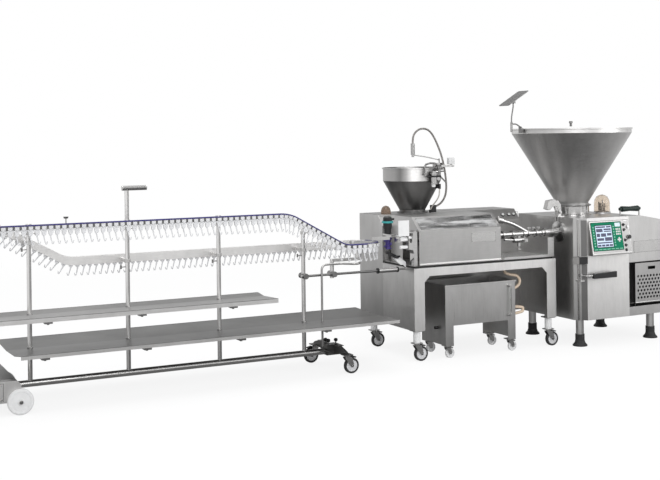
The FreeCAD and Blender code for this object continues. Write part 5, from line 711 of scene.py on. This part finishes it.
def seams(name, place, rectangles, material="seam"):
    lines = Build(name, material)
    for rectangle in rectangles:
        lines.outline(place, rectangle, 0.0022, (-0.0012, 0.0007))
    lines.done()


def screws(name, place, spots, radius):
    heads = Build(name, "bright")
    normal = place(0, 0, 1) - place(0, 0, 0)
    for u, v in spots:
        heads.dome(place(u, v, -0.0004), normal, radius)
    heads.done()


def louvres(name, place, low, high, count):
    slats = Build(name, "steel_light")
    # Painted shade in the slots between the slats
    shade = Build(name + "_slots", "recess")
    pitch = (high[1] - low[1]) / count
    for i in range(count):
        v = low[1] + i * pitch
        shade.slab(place, (low[0], v, -ROOT), (high[0], v + pitch * 0.4, 0.0007))
        slats.slab(place, (low[0] - 0.003, v + pitch * 0.36, -ROOT),
                   (high[0] + 0.003, v + pitch * 0.72, 0.006))
    shade.done()
    slats.done(0.001)


# Console: its edge, the panel, the screen in it and the lamps beside it, across and up
CONSOLE_EDGE = ((2.109, 0.823), (2.553, 1.102))
PANEL = ((2.1215, 0.8475), (2.4645, 1.0965))
SCREEN = ((2.169, 0.881), (2.349, 1.067))
SCREEN_OUT = 0.001
KEY_OUT = SCREEN_OUT + 0.0014
LAMP_X = 2.490
LAMP_Z = (1.066, 1.021, 0.931, 0.886, 0.845)

# Plain blocks on the screen: left, low, right and high, as shares of the screen
SCREEN_BLOCKS = ((0.03, 0.90, 0.62, 0.97), (0.68, 0.90, 0.97, 0.97), (0.04, 0.70, 0.44, 0.86),
                 (0.50, 0.78, 0.96, 0.86), (0.50, 0.70, 0.96, 0.75), (0.04, 0.48, 0.24, 0.64),
                 (0.30, 0.48, 0.62, 0.64), (0.68, 0.52, 0.96, 0.64), (0.04, 0.30, 0.46, 0.42),
                 (0.52, 0.28, 0.96, 0.45), (0.04, 0.17, 0.96, 0.23), (0.03, 0.03, 0.24, 0.12),
                 (0.28, 0.03, 0.48, 0.12), (0.52, 0.03, 0.72, 0.12), (0.76, 0.03, 0.97, 0.12))


def screen_details():
    border = Build("console_frame", "steel_light")
    border.outline(on_console, CONSOLE_EDGE, 0.004, (-ROOT, 0.0012))
    border.done(0.0004)
    gasket = Build("panel_gasket", "seam")
    gasket.outline(on_console, PANEL, 0.0035, (-ROOT, 0.0014))
    gasket.outline(on_console, grown(SCREEN, 0.006), 0.006, (0.0, SCREEN_OUT + 0.0012))
    gasket.done(0.0004)
    glass = Build("display", "display")
    glass.slab(on_console, SCREEN[0] + (0.0,), SCREEN[1] + (SCREEN_OUT + 0.0006,))
    glass.done()
    ink = Build("display_blocks", "ink")
    (x, z), (right_x, head_z) = SCREEN
    width, height = right_x - x, head_z - z
    for left, low, right, high in SCREEN_BLOCKS:
        ink.slab(on_console, (x + left * width, z + low * height, 0.0),
                 (x + right * width, z + high * height, SCREEN_OUT + 0.0011))
    ink.done()


def key_details():
    keys = Build("panel_keys", "pale_key")
    for row in range(3):
        for column in range(3):
            left = 2.396 + column * 0.019
            low = 0.980 + row * 0.0215
            keys.slab(on_console, (left, low, 0.0), (left + 0.014, low + 0.015, KEY_OUT))
    keys.slab(on_console, (2.404, 0.932, 0.0), (2.444, 0.946, SCREEN_OUT + 0.0016))
    keys.slab(on_console, (2.417, 0.919, 0.0), (2.431, 0.959, SCREEN_OUT + 0.0018))
    keys.outline(on_console, ((2.392, 1.052), (2.452, 1.086)), 0.003, (0.0, KEY_OUT))
    keys.done(0.0005)
    dots = Build("panel_dots", "green_key")
    for row in range(8):
        low = 0.886 + row * 0.0232
        for left in (2.139, 2.366):
            dots.slab(on_console, (left, low, 0.0), (left + 0.013, low + 0.012, KEY_OUT))
    for column in range(7):
        left = 2.133 + column * 0.047
        dots.slab(on_console, (left, 0.858, 0.0), (left + 0.036, 0.865, SCREEN_OUT + 0.0012))
    dots.done(0.0005)
    window = Build("panel_window", "display")
    window.slab(on_console, (2.394, 1.054, 0.0), (2.450, 1.084, SCREEN_OUT + 0.0006))
    window.done()


def control_details():
    rings = Build("console_rings", "bright")
    for x, z, radius in ((2.534, 0.956, 0.0155), (2.534, 1.045, 0.0145)):
        rings.ring(on_console(x, z, 0.0006), CONSOLE_NORMAL, radius, 0.0014, 28)
    for x, z in grid((2.116, 2.546), (0.832, 1.094)):
        rings.dome(on_console(x, z, 0.0), CONSOLE_NORMAL, 0.0042)
    rings.done()
    collars = Build("lamp_collars", "ink_dark")
    for z in LAMP_Z:
        collars.ring(on_console(LAMP_X, z, 0.0012), CONSOLE_NORMAL, 0.0120, 0.0024, 28)
    collars.done()
    caps = Build("lamp_caps", "black")
    for z in LAMP_Z[1:]:
        caps.rod(on_console(LAMP_X, z, -ROOT), on_console(LAMP_X, z, 0.0056), 0.0084, sides=24)
    caps.done(0.0006)
    marks = Build("control_marks", "ink_dark")
    for x, z in zip((2.512, 2.510, 2.510, 2.510), LAMP_Z):
        marks.slab(on_console, (x - 0.003, z - 0.004, 0.0), (x + 0.003, z + 0.004, 0.0006))
    marks.done()


def filler_details():
    plate("blank_plate", on_front_right, ((2.625, 0.803), (2.985, 0.912)))
    back = facing_back(BODY_BACK_Y)
    seams("back_seams", back, (((2.03, 0.262), (2.55, 1.10)), ((2.57, 0.262), (3.09, 1.10))))
    louvres("back_louvres", back, (2.64, 0.36), (3.02, 0.66), 10)
    screws("back_screws", back, grid((2.045, 2.535, 2.585, 3.075), (0.28, 0.55, 0.82, 1.08)), 0.0055)


def hood_details():
    front, cover = facing_front(HOOD_FRONT_Y), "hood_cover"
    # The hood's folded foot lip, in the brightest steel as a painted highlight
    lip = Build("hood_foot_lip_highlight", "streak", cover)
    lip.slab(front, (0.517, 0.8015, -ROOT), (1.338, 0.813, 0.0045))
    lip.done(0.0012)
    plate("hood_plate", front, ((1.032, 0.962), (1.288, 1.052)), cover)


def track_z(x, start):
    """Height of the top of the track at x, where the descent starts at start."""
    top_x, foot_x = TOP_BEND * math.sin(DESCENT_ANGLE), FOOT_BEND * math.sin(DESCENT_ANGLE)
    bends = (TOP_BEND + FOOT_BEND) * (1 - math.cos(DESCENT_ANGLE))
    slope_x = (TRACK_HIGH - TRACK_LOW - bends) / math.tan(DESCENT_ANGLE)
    along = x - start
    to_foot = top_x + slope_x + foot_x - along
    if along <= 0:
        return TRACK_HIGH
    if along <= top_x:
        return TRACK_HIGH - TOP_BEND + math.sqrt(TOP_BEND ** 2 - along ** 2)
    if to_foot >= foot_x:
        bend_foot = TRACK_HIGH - TOP_BEND * (1 - math.cos(DESCENT_ANGLE))
        return bend_foot - (along - top_x) * math.tan(DESCENT_ANGLE)
    if to_foot > 0:
        return TRACK_LOW + FOOT_BEND - math.sqrt(FOOT_BEND ** 2 - to_foot ** 2)
    return TRACK_LOW


def link_middles():
    """Middle of every chain link, from the solid chain."""
    mesh = bmesh.new()
    mesh.from_mesh(NODES["hook_chain"].data)
    joined_within = 0.00002
    bmesh.ops.remove_doubles(mesh, verts=mesh.verts, dist=joined_within)
    seen, middles = set(), []
    for first in mesh.verts:
        if first in seen:
            continue
        seen.add(first)
        group, queue = [], [first]
        while queue:
            vert = queue.pop()
            group.append(vert.co.copy())
            for edge in vert.link_edges:
                other = edge.other_vert(vert)
                if other not in seen:
                    seen.add(other)
                    queue.append(other)
        middles.append(sum(group, Vector()) / len(group))
    mesh.free()
    return middles


def on_track(middle):
    """Face of the rail above a chain link: across along the track, up, and outwards."""
    out = Vector((0, -1 if middle.y < CONVEYOR_Y else 1, 0))
    if TURN_LEFT_X < middle.x < TURN_RIGHT_X:
        start = FRONT_DESCENT_X if out.y < 0 else RETURN_DESCENT_X
        base = Vector((middle.x, CONVEYOR_Y, track_z(middle.x, start)))
        step = 0.004
        rise = (track_z(middle.x + step, start) - track_z(middle.x - step, start)) / (2 * step)
        ahead = Vector((1, 0, rise)).normalized()
    else:
        left = middle.x <= TURN_LEFT_X
        turn_x, height = (TURN_LEFT_X, TRACK_HIGH) if left else (TURN_RIGHT_X, TRACK_LOW)
        base = Vector((turn_x, CONVEYOR_Y, height))
        out = Vector((middle.x - base.x, middle.y - base.y, 0)).normalized()
        ahead = Vector((-out.y, out.x, 0))
    up = ahead.cross(out)
    if up.z < 0:
        up = -up
    base = base + out * (TURN_RADIUS + RAIL_HALF)
    return lambda u, v, d: base + ahead * u + up * v + out * d


def carrier_details():
    """Pale block with a tongue over every chain link, on the face of the rail."""
    blocks = Build("carriers", "carrier")
    for middle in link_middles():
        place = on_track(middle)
        blocks.slab(place, (-0.0155, -0.0285, -ROOT), (0.0155, -0.0075, 0.0045))
        blocks.slab(place, (-0.007, -0.036, -ROOT), (0.007, -0.028, 0.0035))
    blocks.done(0.0008)


def track_lip():
    lip = Build("track_lip", "strip")
    steps = 150
    stations = [TURN_LEFT_X + (TURN_RIGHT_X - TURN_LEFT_X) * i / steps for i in range(steps + 1)]
    for ends in zip(stations, stations[1:]):
        lip.block([(x, y, track_z(x, FRONT_DESCENT_X) + rise)
                   for x in ends for y in (-0.3476, -0.3400) for rise in (-0.005, 0.0038)])
    lip.done()


def tray_details():
    edges = Build("tray_edges", "steel_dark")
    for low_x, high_x, y, tray_z in ((-2.985, -0.835, UPPER_TRAY_FRONT_Y, UPPER_TRAY_Z),
                                     (-2.985, -0.835, -0.0555, UPPER_TRAY_Z),
                                     (-2.780, 0.195, LOWER_TRAY_FRONT_Y, LOWER_TRAY_Z),
                                     (-2.820, 0.195, 0.2245, LOWER_TRAY_Z)):
        edges.box((low_x, y - 0.0012, tray_z - 0.0022), (high_x, y + 0.0012, tray_z + 0.0011))
    edges.done()
    tabs = Build("tray_tabs", "steel_dark")
    upper = ((-2.582, -1.903, -1.193), -0.452, -0.400, 0.599, 0.6125, 0.590)
    lower = ((-2.619, -1.889, -1.155, -0.435), -0.520, -0.450, 0.362, 0.3785, 0.352)
    for places, front_y, back_y, foot_z, head_z, screw_z in (upper, lower):
        for x in places:
            tabs.box((x - 0.028, front_y, foot_z), (x + 0.028, back_y, head_z))
            tabs.upright(x, (front_y + back_y) / 2, foot_z, screw_z, 0.009)
    tabs.done(0.001)


def post_details():
    """Rings, knobs and screws on the posts, the stop pin and the handle's rings."""
    clamps = Build("post_clamps", "bright")
    knobs = Build("post_knobs", "steel_dark")
    tray_drop, knob_drop = 0.0155, 0.062
    upper_tray_end_x = -0.83
    for x in POST_X:
        front_z = track_z(x, FRONT_DESCENT_X) - 0.006
        back_z = track_z(x, RETURN_DESCENT_X) - 0.034
        rings = [(front_z - knob_drop, 0.0225), (back_z, 0.0235)]
        if x < upper_tray_end_x:
            rings.append((UPPER_TRAY_Z - tray_drop, 0.020))
        rings.append((LOWER_TRAY_Z - tray_drop, 0.020))
        for z, size in rings:
            clamps.upright(x, CONVEYOR_Y, z - 0.012, z + 0.012, size, sides=32)
        for z, side in ((front_z - knob_drop, 1), (back_z - 0.045, -1)):
            clamps.rod((x + side * 0.016, CONVEYOR_Y, z), (x + side * 0.052, CONVEYOR_Y, z), 0.0045)
            knobs.upright(x + side * 0.050, CONVEYOR_Y, z - 0.014, z + 0.014, 0.007)
    for x, y in grid(POST_X[:3], (-0.335, -0.200)):
        clamps.screw((x, y, track_z(x, FRONT_DESCENT_X) - 0.0205), (0, 0, -1), 0.005)
    pin_x = -2.427
    clamps.upright(pin_x, FRONT_RUN_Y, 1.2885, 1.326, 0.0055)
    knobs.upright(pin_x, FRONT_RUN_Y, 1.323, 1.336, 0.015, 0.019)
    for x in (-1.787, -1.970):
        clamps.rod((x, CONVEYOR_Y, HANDLE_Z), (x + 0.0075, CONVEYOR_Y, HANDLE_Z), 0.0182, sides=32)
    clamps.done(0.0008)
    knobs.done(0.0015)


def linker_details():
    # Black gasket strip, made taller than the gasket so that it also carries the painted shadow under the
    # hood
    gasket_and_shadow = Build("table_bead", "seam")
    gasket_and_shadow.box((0.455, -0.3540, 0.7715), (1.345, -0.334, 0.7988))
    gasket_and_shadow.box((0.4565, -0.350, 0.7815), (0.466, 0.140, 0.7975))
    gasket_and_shadow.done(0.004)
    frames = Build("roller_frames", "steel_dark")
    rollers = Build("guide_rollers", "white")
    roller_y = -0.3025
    for low in (0.997, 0.935):
        frames.box((0.4105, -0.3195, low - 0.004), (0.4165, -0.2835, low + 0.052))
        rollers.rod((0.340, roller_y, low + 0.024), (0.410, roller_y, low + 0.024), 0.0145, sides=28)
    frames.done(0.001)
    rollers.done(0.001)


def hopper_details():
    knob = Build("rim_knob", "steel_dark")
    foot = Vector(HOPPER + (1.955,)) + Vector((0.627, 0.779, 0)) * 0.546
    knob.rod(foot, foot + Vector((0, 0, 0.040)), 0.012)
    knob.rod(foot + Vector((0, 0, 0.032)), foot + Vector((0, 0, 0.052)), 0.019, 0.016)
    knob.done(0.002)


def on_cut_corner(u, v, d):
    """Point on the filler's cut corner, where u runs from 0 to 1 across it."""
    out = Vector((-0.080, -0.090, 0)).normalized()
    return Vector((2.005, -0.475, v)) + Vector((0.090, -0.080, 0)) * u + out * d


def corner_shade_and_highlight():
    # Painted shade: a dark strip over the inner part of the cut corner
    strip = Build("corner_shade", "steel_dark")
    for low, high in ((0.240, 0.734), (0.803, 1.120)):
        strip.slab(on_cut_corner, (0.56, low, -ROOT), (0.985, high, 0.001))
    strip.done()
    # Painted highlight: the tube over the corner rod in the brightest steel
    shine = Build("corner_tube_highlight", "streak")
    for low, high in ((0.245, 0.620), (0.652, 0.735), (0.803, 1.100)):
        start = on_cut_corner(0.36, low, 0.008)
        shine.rod(start, start + Vector((0, 0, high - low)), 0.0085, sides=16)
    shine.done()


def neck_details():
    for name, material, z, radius, thickness in (("neck_clamp", "steel_dark", 1.229, 0.166, 0.0065),
                                                 ("neck_foot", "bright", 1.1415, 0.170, 0.005)):
        ring = Build(name, material)
        ring.ring(HOPPER + (z,), (0, 0, 1), radius, thickness, 72)
        ring.done()


def dome_details():
    inner = Build("dome_parts", "steel_dark")
    x, y = DOME
    for dx, dy, top, radius in ((0.022, 0.018, 1.262, 0.006), (-0.026, 0.012, 1.245, 0.005),
                                (0.004, -0.030, 1.232, 0.0075)):
        inner.upright(x + dx, y + dy, 1.150, top, radius)
    inner.upright(x, y, 1.146, 1.158, 0.058, sides=40)
    inner.ring((x, y, 1.205), (0, 0, 1), 0.040, 0.003, 40)
    inner.done()


def grab_details():
    grip = Build("grab_grip", "handle")
    middle_x, half, thick, waist = 2.760, 0.098, 0.0265, 0.0205
    middle = (middle_x, GRAB_Y, GRAB_Z)
    grip.rod((middle_x - half, GRAB_Y, GRAB_Z), middle, thick, waist, 28)
    grip.rod(middle, (middle_x + half, GRAB_Y, GRAB_Z), waist, thick, 28)
    for i in range(9):
        x = 2.672 + i * 0.022
        radius = 0.0262 - 0.0058 * (1 - abs(x - middle_x) / half)
        grip.ring((x, GRAB_Y, GRAB_Z), (1, 0, 0), radius, 0.0016, 28)
    grip.done(0.002)


def bow_details():
    bow = Build("small_hopper_bow", "steel_dark")
    bends = ((0.839, 1.545), (0.837, 1.598), (0.854, 1.629), (0.896, 1.639), (0.948, 1.636), (0.979, 1.616),
             (0.984, 1.568))
    for (x0, z0), (x1, z1) in zip(bends, bends[1:]):
        bow.rod((x0, 0.105, z0), (x1, 0.105, z1), 0.0085, sides=14)
    for x, foot_y, z in ((0.839, 0.122, 1.545), (0.984, 0.145, 1.568)):
        bow.rod((x, 0.094, z), (x, foot_y, z), 0.013, sides=18)
    bow.rod((0.990, VALVE_Y, 1.524), (1.058, VALVE_Y, 1.460), 0.0068)
    bow.done()


def valve_details():
    valve = Build("small_hopper_valve", "bright")
    for low, high, radius in ((1.454, 1.556, 0.027), (1.556, 1.568, 0.020), (1.541, 1.550, 0.033),
                              (1.458, 1.468, 0.033)):
        valve.upright(VALVE_X, VALVE_Y, low, high, radius, sides=28)
    valve.rod((0.975, VALVE_Y, 1.500), (0.975, 0.145, 1.500), 0.016)
    valve.done(0.001)
    bar = Build("small_hopper_valve_bar", "black")
    bar.rod((0.862, VALVE_Y, 1.522), (0.998, VALVE_Y, 1.522), 0.0085)
    bar.upright(VALVE_X, VALVE_Y, 1.514, 1.530, 0.0295, sides=28)
    bar.done()
    spout = Build("small_hopper_spout", "white")
    spout.upright(0.922, VALVE_Y, 1.456, 1.428, 0.020, 0.017, 24)
    spout.done(0.001)


def sensor_details():
    head = Build("sensor_head", "white")
    head.box((1.226, 0.312, 1.620), (1.290, 0.348, 1.680))
    head.done(0.004)
    arm = Build("sensor_arm", "bright")
    arm.box((1.150, 0.321, 1.594), (1.290, 0.333, 1.614))
    arm.upright(1.258, 0.330, 1.612, 1.624, 0.010)
    arm.done(0.0015)


def motor_details():
    band = Build("motor_band", "teal")
    band.upright(*MOTOR, 1.156, 1.172, 0.0478, sides=36)
    band.done()
    dot = Build("motor_lamp", "green_key")
    dot.upright(0.318, -0.185, 1.206, 1.2095, 0.008)
    dot.done()


def castor_details():
    for name, (x, y, trail) in CASTOR_PLACES.items():
        nuts = Build(name + "_nuts", "bright", name + "_swivel")
        for way in (-1, 1):
            nuts.screw((x + trail, y + way * 0.0264, CASTOR_AXLE_Z), (0, way, 0), 0.0078)
        nuts.done()


def cabinet_details():
    back = facing_back(CABINET_BACK_Y)
    seams("cabinet_back_seams", back, (((0.47, 0.285), (1.88, 1.165)), ((0.86, 0.395), (1.49, 0.685))))
    covers = Build("cabinet_slot_hoods", "steel_light")
    for number in range(8):
        z = 0.430 + number * 0.032
        covers.slab(back, (0.897, z, -ROOT), (1.453, z + 0.012, 0.007))
    covers.done(0.0015)
    spots = grid((0.484, 0.95, 1.40, 1.866), (0.31, 1.14)) + grid((0.484, 1.866), (0.58, 0.86))
    screws("cabinet_back_screws", back, spots, 0.006)
    lock = Build("cabinet_locks", "bright")
    for x in (1.118, 1.232):
        lock.rod(back(x, 0.76, -ROOT), back(x, 0.76, 0.006), 0.012, sides=28)
    lock.done()
    right = facing_right(CABINET_RIGHT_X)
    seams("cabinet_right_seams", right, (((0.20, 0.285), (0.575, 1.165)),))
    screws("cabinet_right_screws", right, grid((0.213, 0.562), (0.31, 0.72, 1.14)), 0.006)
    louvres("cabinet_side_louvres", right, (0.27, 0.36), (0.50, 0.56), 8)
    top = facing_up(CABINET_TOP_Z)
    lids = (((0.47, 0.24), (0.86, 0.57)), ((1.24, 0.24), (1.66, 0.57)))
    seams("cabinet_top_seams", top, lids, "steel_dark")


def drive_details():
    front, back = facing_front(DRIVE_FRONT_Y), facing_back(DRIVE_BACK_Y)
    seams("drive_seams", front, (((-3.10, 0.100), (-2.90, 0.222)),))
    screws("drive_screws", front, grid((-3.09, -2.91), (0.112, 0.210)), 0.0055)
    seams("drive_back_seams", back, (((-3.10, 0.100), (-2.83, 0.222)),))
    louvres("drive_louvres", back, (-3.05, 0.12), (-2.90, 0.20), 5)
    hubs = Build("big_wheel_screws", "bright")
    for y, way in ((-0.5228, -1), (0.1828, 1)):
        hubs.screw((BIG_WHEEL_X, y, BIG_WHEEL_Z), (0, way, 0), 0.0105)
    hubs.done()


def tub_details():
    line = Build("tub_gauge_line", "black")
    line.upright(GAUGE_X, GAUGE_Y - 0.0085, 0.35, 0.55, 0.0022)
    line.done()


def choose(tree, share, first, second):
    """Goes from the first shader to the second as the share rises."""
    node = add(tree, "MixShader")
    link(tree, (share, node.inputs[0]), (first.outputs[0], node.inputs[1]),
         (second.outputs[0], node.inputs[2]))
    return node


def combine(tree, operation, first, second):
    node = add(tree, "Math")
    node.operation = operation
    link(tree, (first, node.inputs[0]), (second, node.inputs[1]))
    return node.outputs[0]


def ground():
    """White ground that keeps the part's shadow; metal sees it darker near the part, as a painted shade."""
    mesh = bpy.data.meshes.new("floor")
    corners = [(x * FLOOR_HALF, y * FLOOR_HALF, 0) for x, y in ((-1, -1), (1, -1), (1, 1), (-1, 1))]
    mesh.from_pydata(corners, [], [(0, 1, 2, 3)])
    floor = bpy.data.objects.new("floor", mesh)
    bpy.context.scene.collection.objects.link(floor)
    mat, tree, matt = bare("floor", "BsdfDiffuse")
    fill(matt, Color=grey(FLOOR_TONE))
    away = add(tree, "VectorMath")
    away.operation = "LENGTH"
    link(tree, (add(tree, "TexCoord").outputs["Object"], away.inputs[0]))
    distance = away.outputs["Value"]
    dim = add(tree, "Emission", Color=WHITE, Strength=1.0)
    white = add(tree, "Emission", Color=WHITE, Strength=1.0)
    # Metal sees the floor as a glow that dims near the part: painted shade
    link(tree, (spread(tree, distance, *FLOOR_IN_METAL, FLOOR_REACH), dim.inputs["Strength"]))
    rays = add(tree, "LightPath").outputs
    whiteness = spread(tree, distance, *FLOOR_GLOW, FLOOR_GLOW_REACH)
    seen = combine(tree, "MULTIPLY", rays["Is Camera Ray"], whiteness)
    final = choose(tree, rays["Is Glossy Ray"], choose(tree, seen, matt, white), dim)
    link(tree, (final.outputs[0], tree.nodes["Material Output"].inputs[0]))
    mesh.materials.append(mat)


def studio():
    """White to the camera, soft light on the part, and light and dark panels in its metal."""
    world = bpy.data.worlds.new("studio")
    bpy.context.scene.world = world
    world.use_nodes = True
    tree = world.node_tree
    tree.nodes.clear()
    around, split = add(tree, "TexGradient"), add(tree, "SeparateXYZ")
    around.gradient_type = "RADIAL"
    view = add(tree, "TexCoord").outputs["Generated"]
    link(tree, (view, around.inputs[0]), (view, split.inputs[0]))
    panels = ramp(tree, around.outputs["Fac"], [(place, grey(tone)) for place, tone in STUDIO_PANELS])
    height = ramp(tree, split.outputs["Z"], [(place, grey(tone)) for place, tone in STUDIO_HEIGHTS])
    soft = add(tree, "Background", Color=WORLD_COLOR, Strength=WORLD_LIGHT)
    in_metal = add(tree, "Background", Color=WHITE, Strength=1.0)
    white = add(tree, "Background", Color=WHITE, Strength=1.0)
    link(tree, (blend_color(tree, 1.0, panels, height), in_metal.inputs["Color"]))
    rays = add(tree, "LightPath").outputs
    plain = combine(tree, "MAXIMUM", rays["Is Camera Ray"], rays["Is Transmission Ray"])
    final = choose(tree, plain, choose(tree, rays["Is Glossy Ray"], soft, in_metal), white)
    link(tree, (final.outputs[0], add(tree, "OutputWorld").inputs[0]))


# Hose routes, in metres: from the level sensor, and from the valve, to the box on the cabinet's top
SENSOR_HOSE = ((0.895, 0.397, 1.814), (0.895, 0.397, 1.869), (0.921, 0.393, 1.917), (0.967, 0.389, 1.9455),
               (1.022, 0.385, 1.948), (1.0705, 0.381, 1.9245), (1.114, 0.376, 1.862), (1.150, 0.370, 1.782),
               (1.181, 0.363, 1.695), (1.201, 0.355, 1.600), (1.211, 0.346, 1.505), (1.213, 0.338, 1.412),
               (1.200, 0.331, 1.345), (1.168, 0.325, 1.290), (1.120, 0.320, 1.252), (1.074, 0.318, 1.237))
PASTE_HOSE = ((1.034, 0.172, 1.406), (1.034, 0.172, 1.350), (1.020, 0.204, 1.296), (0.998, 0.240, 1.252),
              (0.986, 0.260, 1.212))
SENSOR_HOSE_RADIUS = 0.009
PASTE_HOSE_RADIUS = 0.006


def hose(name, route, radius, material):
    """One free hose along its route, standing for the solid one."""
    data = bpy.data.curves.new(name, "CURVE")
    data.dimensions = "3D"
    data.bevel_depth = radius
    data.bevel_resolution = 5
    data.resolution_u = 10
    line = data.splines.new("NURBS")
    line.points.add(len(route) - 1)
    for point, place in zip(line.points, route):
        point.co = (place[0], place[1], place[2], 1)
    line.order_u = 3
    line.use_endpoint_u = True
    data.materials.append(LOOKS[material])
    obj = bpy.data.objects.new(name, data)
    bpy.context.scene.collection.objects.link(obj)
    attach(obj, LINE)
    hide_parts("sensor_hose")


camera()
ground()
studio()
for name, place, aim, size, power in LAMPS:
    lamp(name, place, aim, size, power)
paint_nodes()
hose("corrugated_hose", SENSOR_HOSE, SENSOR_HOSE_RADIUS, "ribs")
hose("paste_hose", PASTE_HOSE, PASTE_HOSE_RADIUS, "paste_hose")
for details in (screen_details, key_details, control_details, filler_details, hood_details,
                carrier_details, track_lip, tray_details, post_details, linker_details, hopper_details,
                corner_shade_and_highlight, neck_details, dome_details, grab_details, bow_details, valve_details,
                sensor_details, motor_details, castor_details, cabinet_details, drive_details, tub_details):
    details()
bpy.context.scene.view_settings.view_transform = "Standard"
